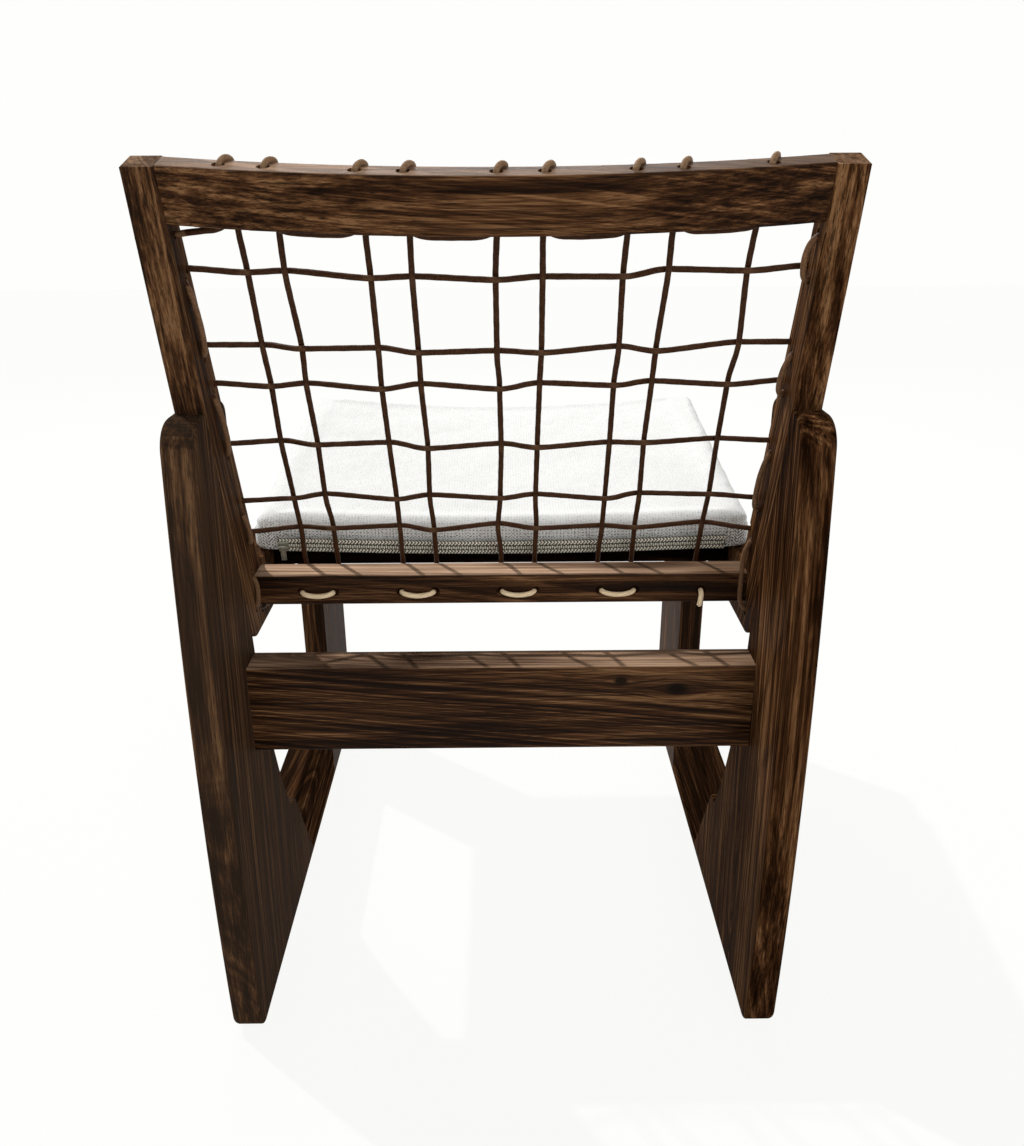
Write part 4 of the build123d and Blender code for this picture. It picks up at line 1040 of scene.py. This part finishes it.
def pad_cloth():
    """Near-white upholstery in a small broken twill: darker flecks that slant one way and then the
    other, the weave's own pattern, made faint on the top and strong on the boxing as painted shade
    on its unlit side, crowded at the boxing's rear corners as painted shade there, and rows of small
    stitches along the rear above the zip."""
    r = Recipe("pad_twill")
    own = r.add("Attribute", {}, output=1, attribute_name="flat")
    across, back, high = r.parts(own)
    down = r.math("SUBTRACT", back, high)
    jitter = r.product(r.noise(own, detail=2.0, scale=220.0), TWILL_JITTER)
    shifted = r.total(across, jitter)
    band = r.math("PINGPONG", shifted, TWILL_TURN)
    ribs = r.waves(r.total(down, band), RIB_PITCH)
    dash = r.waves(shifted, DASH_PITCH)
    cover = r.total(r.product(ribs, 0.55), r.product(dash, 0.30))
    slub = r.math("SUBTRACT", r.noise(own, detail=3.0, scale=430.0), 0.5)
    rear = r.level(back, -0.011, -0.006)
    # painted shade: the flecks crowded at the two rear corners of the boxing
    ends = r.product(r.level(r.math("ABSOLUTE", across), 0.196, 0.214, 0.0, 0.42), rear)
    cover = r.total(cover, ends)
    fleck = r.level(r.total(cover, r.product(slub, 2.4)), 0.42, 0.80)
    # painted shade: the flecks faint on the lit top and strong on the unlit rear boxing
    boxing = r.level(back, -0.016, -0.007, 0.30, 1.0)
    low = r.level(high, 0.020, 0.026, 1.0, 0.55)
    strong = r.product(fleck, r.math("MINIMUM", boxing, low))
    colour = r.mix(strong, PAD_WHITE, FLECK_DARK)
    rows = r.level(r.waves(high, STITCH_ROWS), 0.35, 0.85)
    sewn = r.product(r.level(high, 0.0172, 0.0180), r.level(high, 0.0262, 0.0280, 1.0, 0.0))
    stitch = r.level(r.waves(shifted, STITCH_PITCH), 0.2, 0.7, 0.0, 0.85)
    colour = r.mix(r.product(rows, sewn, stitch, rear), colour, THREAD_DARK)
    height = r.total(r.product(cover, 0.4), slub)
    return r.finish_with(colour, 0.86, r.bump(height, 0.0004, 0.6), gloss=0.25, sheen=0.12)


make_pad()


# ------------------------ zip
TAPE_STOPS = (
    (0.22, (0.05, 0.045, 0.028)),
    (0.42, (0.42, 0.39, 0.29)),
    (0.62, (0.97, 0.94, 0.82)),
)
TAPE_SHADE = (0.018, 0.017, 0.011)     # painted shade beside the teeth and along its rims
TAPE_GRID = (140, 25)                 # its points along and across
CHEVRON = 0.0021                      # half the width of a stripe of the herringbone
TAPE_THICK = 0.0004
TOOTH = (0.00082, 0.00080, 0.00150)   # its half sizes along the zip, off it and upwards
TOOTH_PITCH = 0.0021
TOOTH_STAGGER = 0.0003                # every other tooth is this much higher or lower
TEETH_OFF = 0.0015                    # their middles off the pad's rear


def zip_cloth():
    """Grey-khaki zip tape in herringbone, with painted shade in the groove beside the teeth and
    along its rims.
    """
    r = Recipe("zip_tape_khaki")
    along, over, _ = r.parts(r.add("UVMap", {}, uv_map="along"))
    slant = r.waves(r.total(along, r.math("PINGPONG", over, CHEVRON)), RIB_PITCH)
    mottle = r.math("SUBTRACT", r.noise(r.local(), detail=3.0, scale=520.0), 0.5)
    value = r.total(r.level(slant, -1.0, 1.0), mottle)
    colour = r.ramp(value, TAPE_STOPS)
    off_middle = r.math("ABSOLUTE", r.math("SUBTRACT", over, ZIP_HEIGHT))
    # painted shade in the groove beside the teeth and along the tape's rims
    shade_beside_teeth = r.level(off_middle, 0.0022, 0.0030, 0.95, 0.0)
    rim = r.level(off_middle, ZIP_HALF - 0.0011, ZIP_HALF - 0.0004, 0.0, 0.75)
    colour = r.mix(r.math("MAXIMUM", shade_beside_teeth, rim), colour, TAPE_SHADE)
    return r.finish_with(colour, 0.85, r.bump(value, 0.0003, 0.8))


def moulded(name, colour_low, colour_high, roughness):
    """Moulded plastic or lacquered metal with a faint mottle."""
    r = Recipe(name)
    mottle = r.noise(r.local(), detail=3.0, scale=700.0)
    colour = r.ramp(mottle, ((0.3, colour_low), (0.7, colour_high)))
    return r.finish_with(colour, roughness, r.bump(mottle, 0.00003))


def make_band():
    """The zip's tape, a shallow trough over the seam, which hangs with the pad."""
    ways = [np.linspace(-1, 1, count) for count in TAPE_GRID]
    s, t = np.meshgrid(*ways, indexing="ij")
    along = s * ZIP_LENGTH / 2
    height = ZIP_HEIGHT + ZIP_HALF * t
    bow = 0.0007 + 0.0003 * np.cos(t * math.pi) + 0.0002 * np.cos(t * math.pi * 6)
    rim = np.where(np.abs(t) > 0.93, 0.0, 1.0)
    wave = 0.00025 * noise_bumps(along, height, 4, 6, 0.03)
    points = np.stack([along, bow * rim + wave * rim, height - sag(along)], -1)
    tape = grid_mesh("zip_band", from_pad(points), False, np.stack([along, height], -1))
    tape.materials.append(zip_cloth())
    band = new_object("zip_band", tape, "pad")
    thick = band.modifiers.new("cloth_thickness", "SOLIDIFY")
    thick.thickness = TAPE_THICK
    thick.offset = 0.0
    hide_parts("zip_tape")


def blunted(value, power):
    """A cosine or sine made blunter, which turns a ball into a rounded block."""
    return np.sign(value) * np.abs(value) ** power


def make_teeth():
    """The zip's teeth, rounded blocks in two rows that mesh, which hang with the pad."""
    count = int(ZIP_LENGTH / TOOTH_PITCH) - 1
    place = (np.arange(count) - (count - 1) / 2) * TOOTH_PITCH
    rings, sides = 5, 8
    a = np.linspace(-math.pi / 2, math.pi / 2, rings)[:, None]
    b = np.arange(sides)[None, :] * 2 * math.pi / sides
    ring = np.abs(np.cos(a)) ** 0.5
    tooth = np.stack(
        [
            TOOTH[0] * ring * blunted(np.cos(b), 0.6),
            TOOTH[1] * ring * blunted(np.sin(b), 0.6),
            TOOTH[2] * blunted(np.sin(a), 0.5) * np.ones(sides),
        ],
        -1,
    ).reshape(-1, 3)
    stagger = np.where(np.arange(count) % 2 == 0, TOOTH_STAGGER, -TOOTH_STAGGER)
    offsets = np.stack([place, np.full(count, TEETH_OFF), ZIP_HEIGHT + stagger - sag(place)], -1)
    points = (tooth[None] + offsets[:, None]).reshape(-1, 3)
    quads = grid_faces(rings, sides, True)[0]
    quads = quads[None] + (np.arange(count) * rings * sides)[:, None, None]
    mesh = bpy.data.meshes.new("zip_teeth")
    mesh.from_pydata(from_pad(points).tolist(), [], quads.reshape(-1, 4).tolist())
    weld(mesh)
    mesh.shade_smooth()
    mesh.materials.append(moulded("zip_teeth_plastic", (0.50, 0.48, 0.38), (0.94, 0.91, 0.78), 0.45))
    teeth = new_object("zip_teeth", mesh, "pad")


make_band()
make_teeth()
paint(
    ["zip_slider", "zip_pull"],
    moulded("slider_lacquer", (0.10, 0.096, 0.072), (0.27, 0.26, 0.20), 0.30),
)
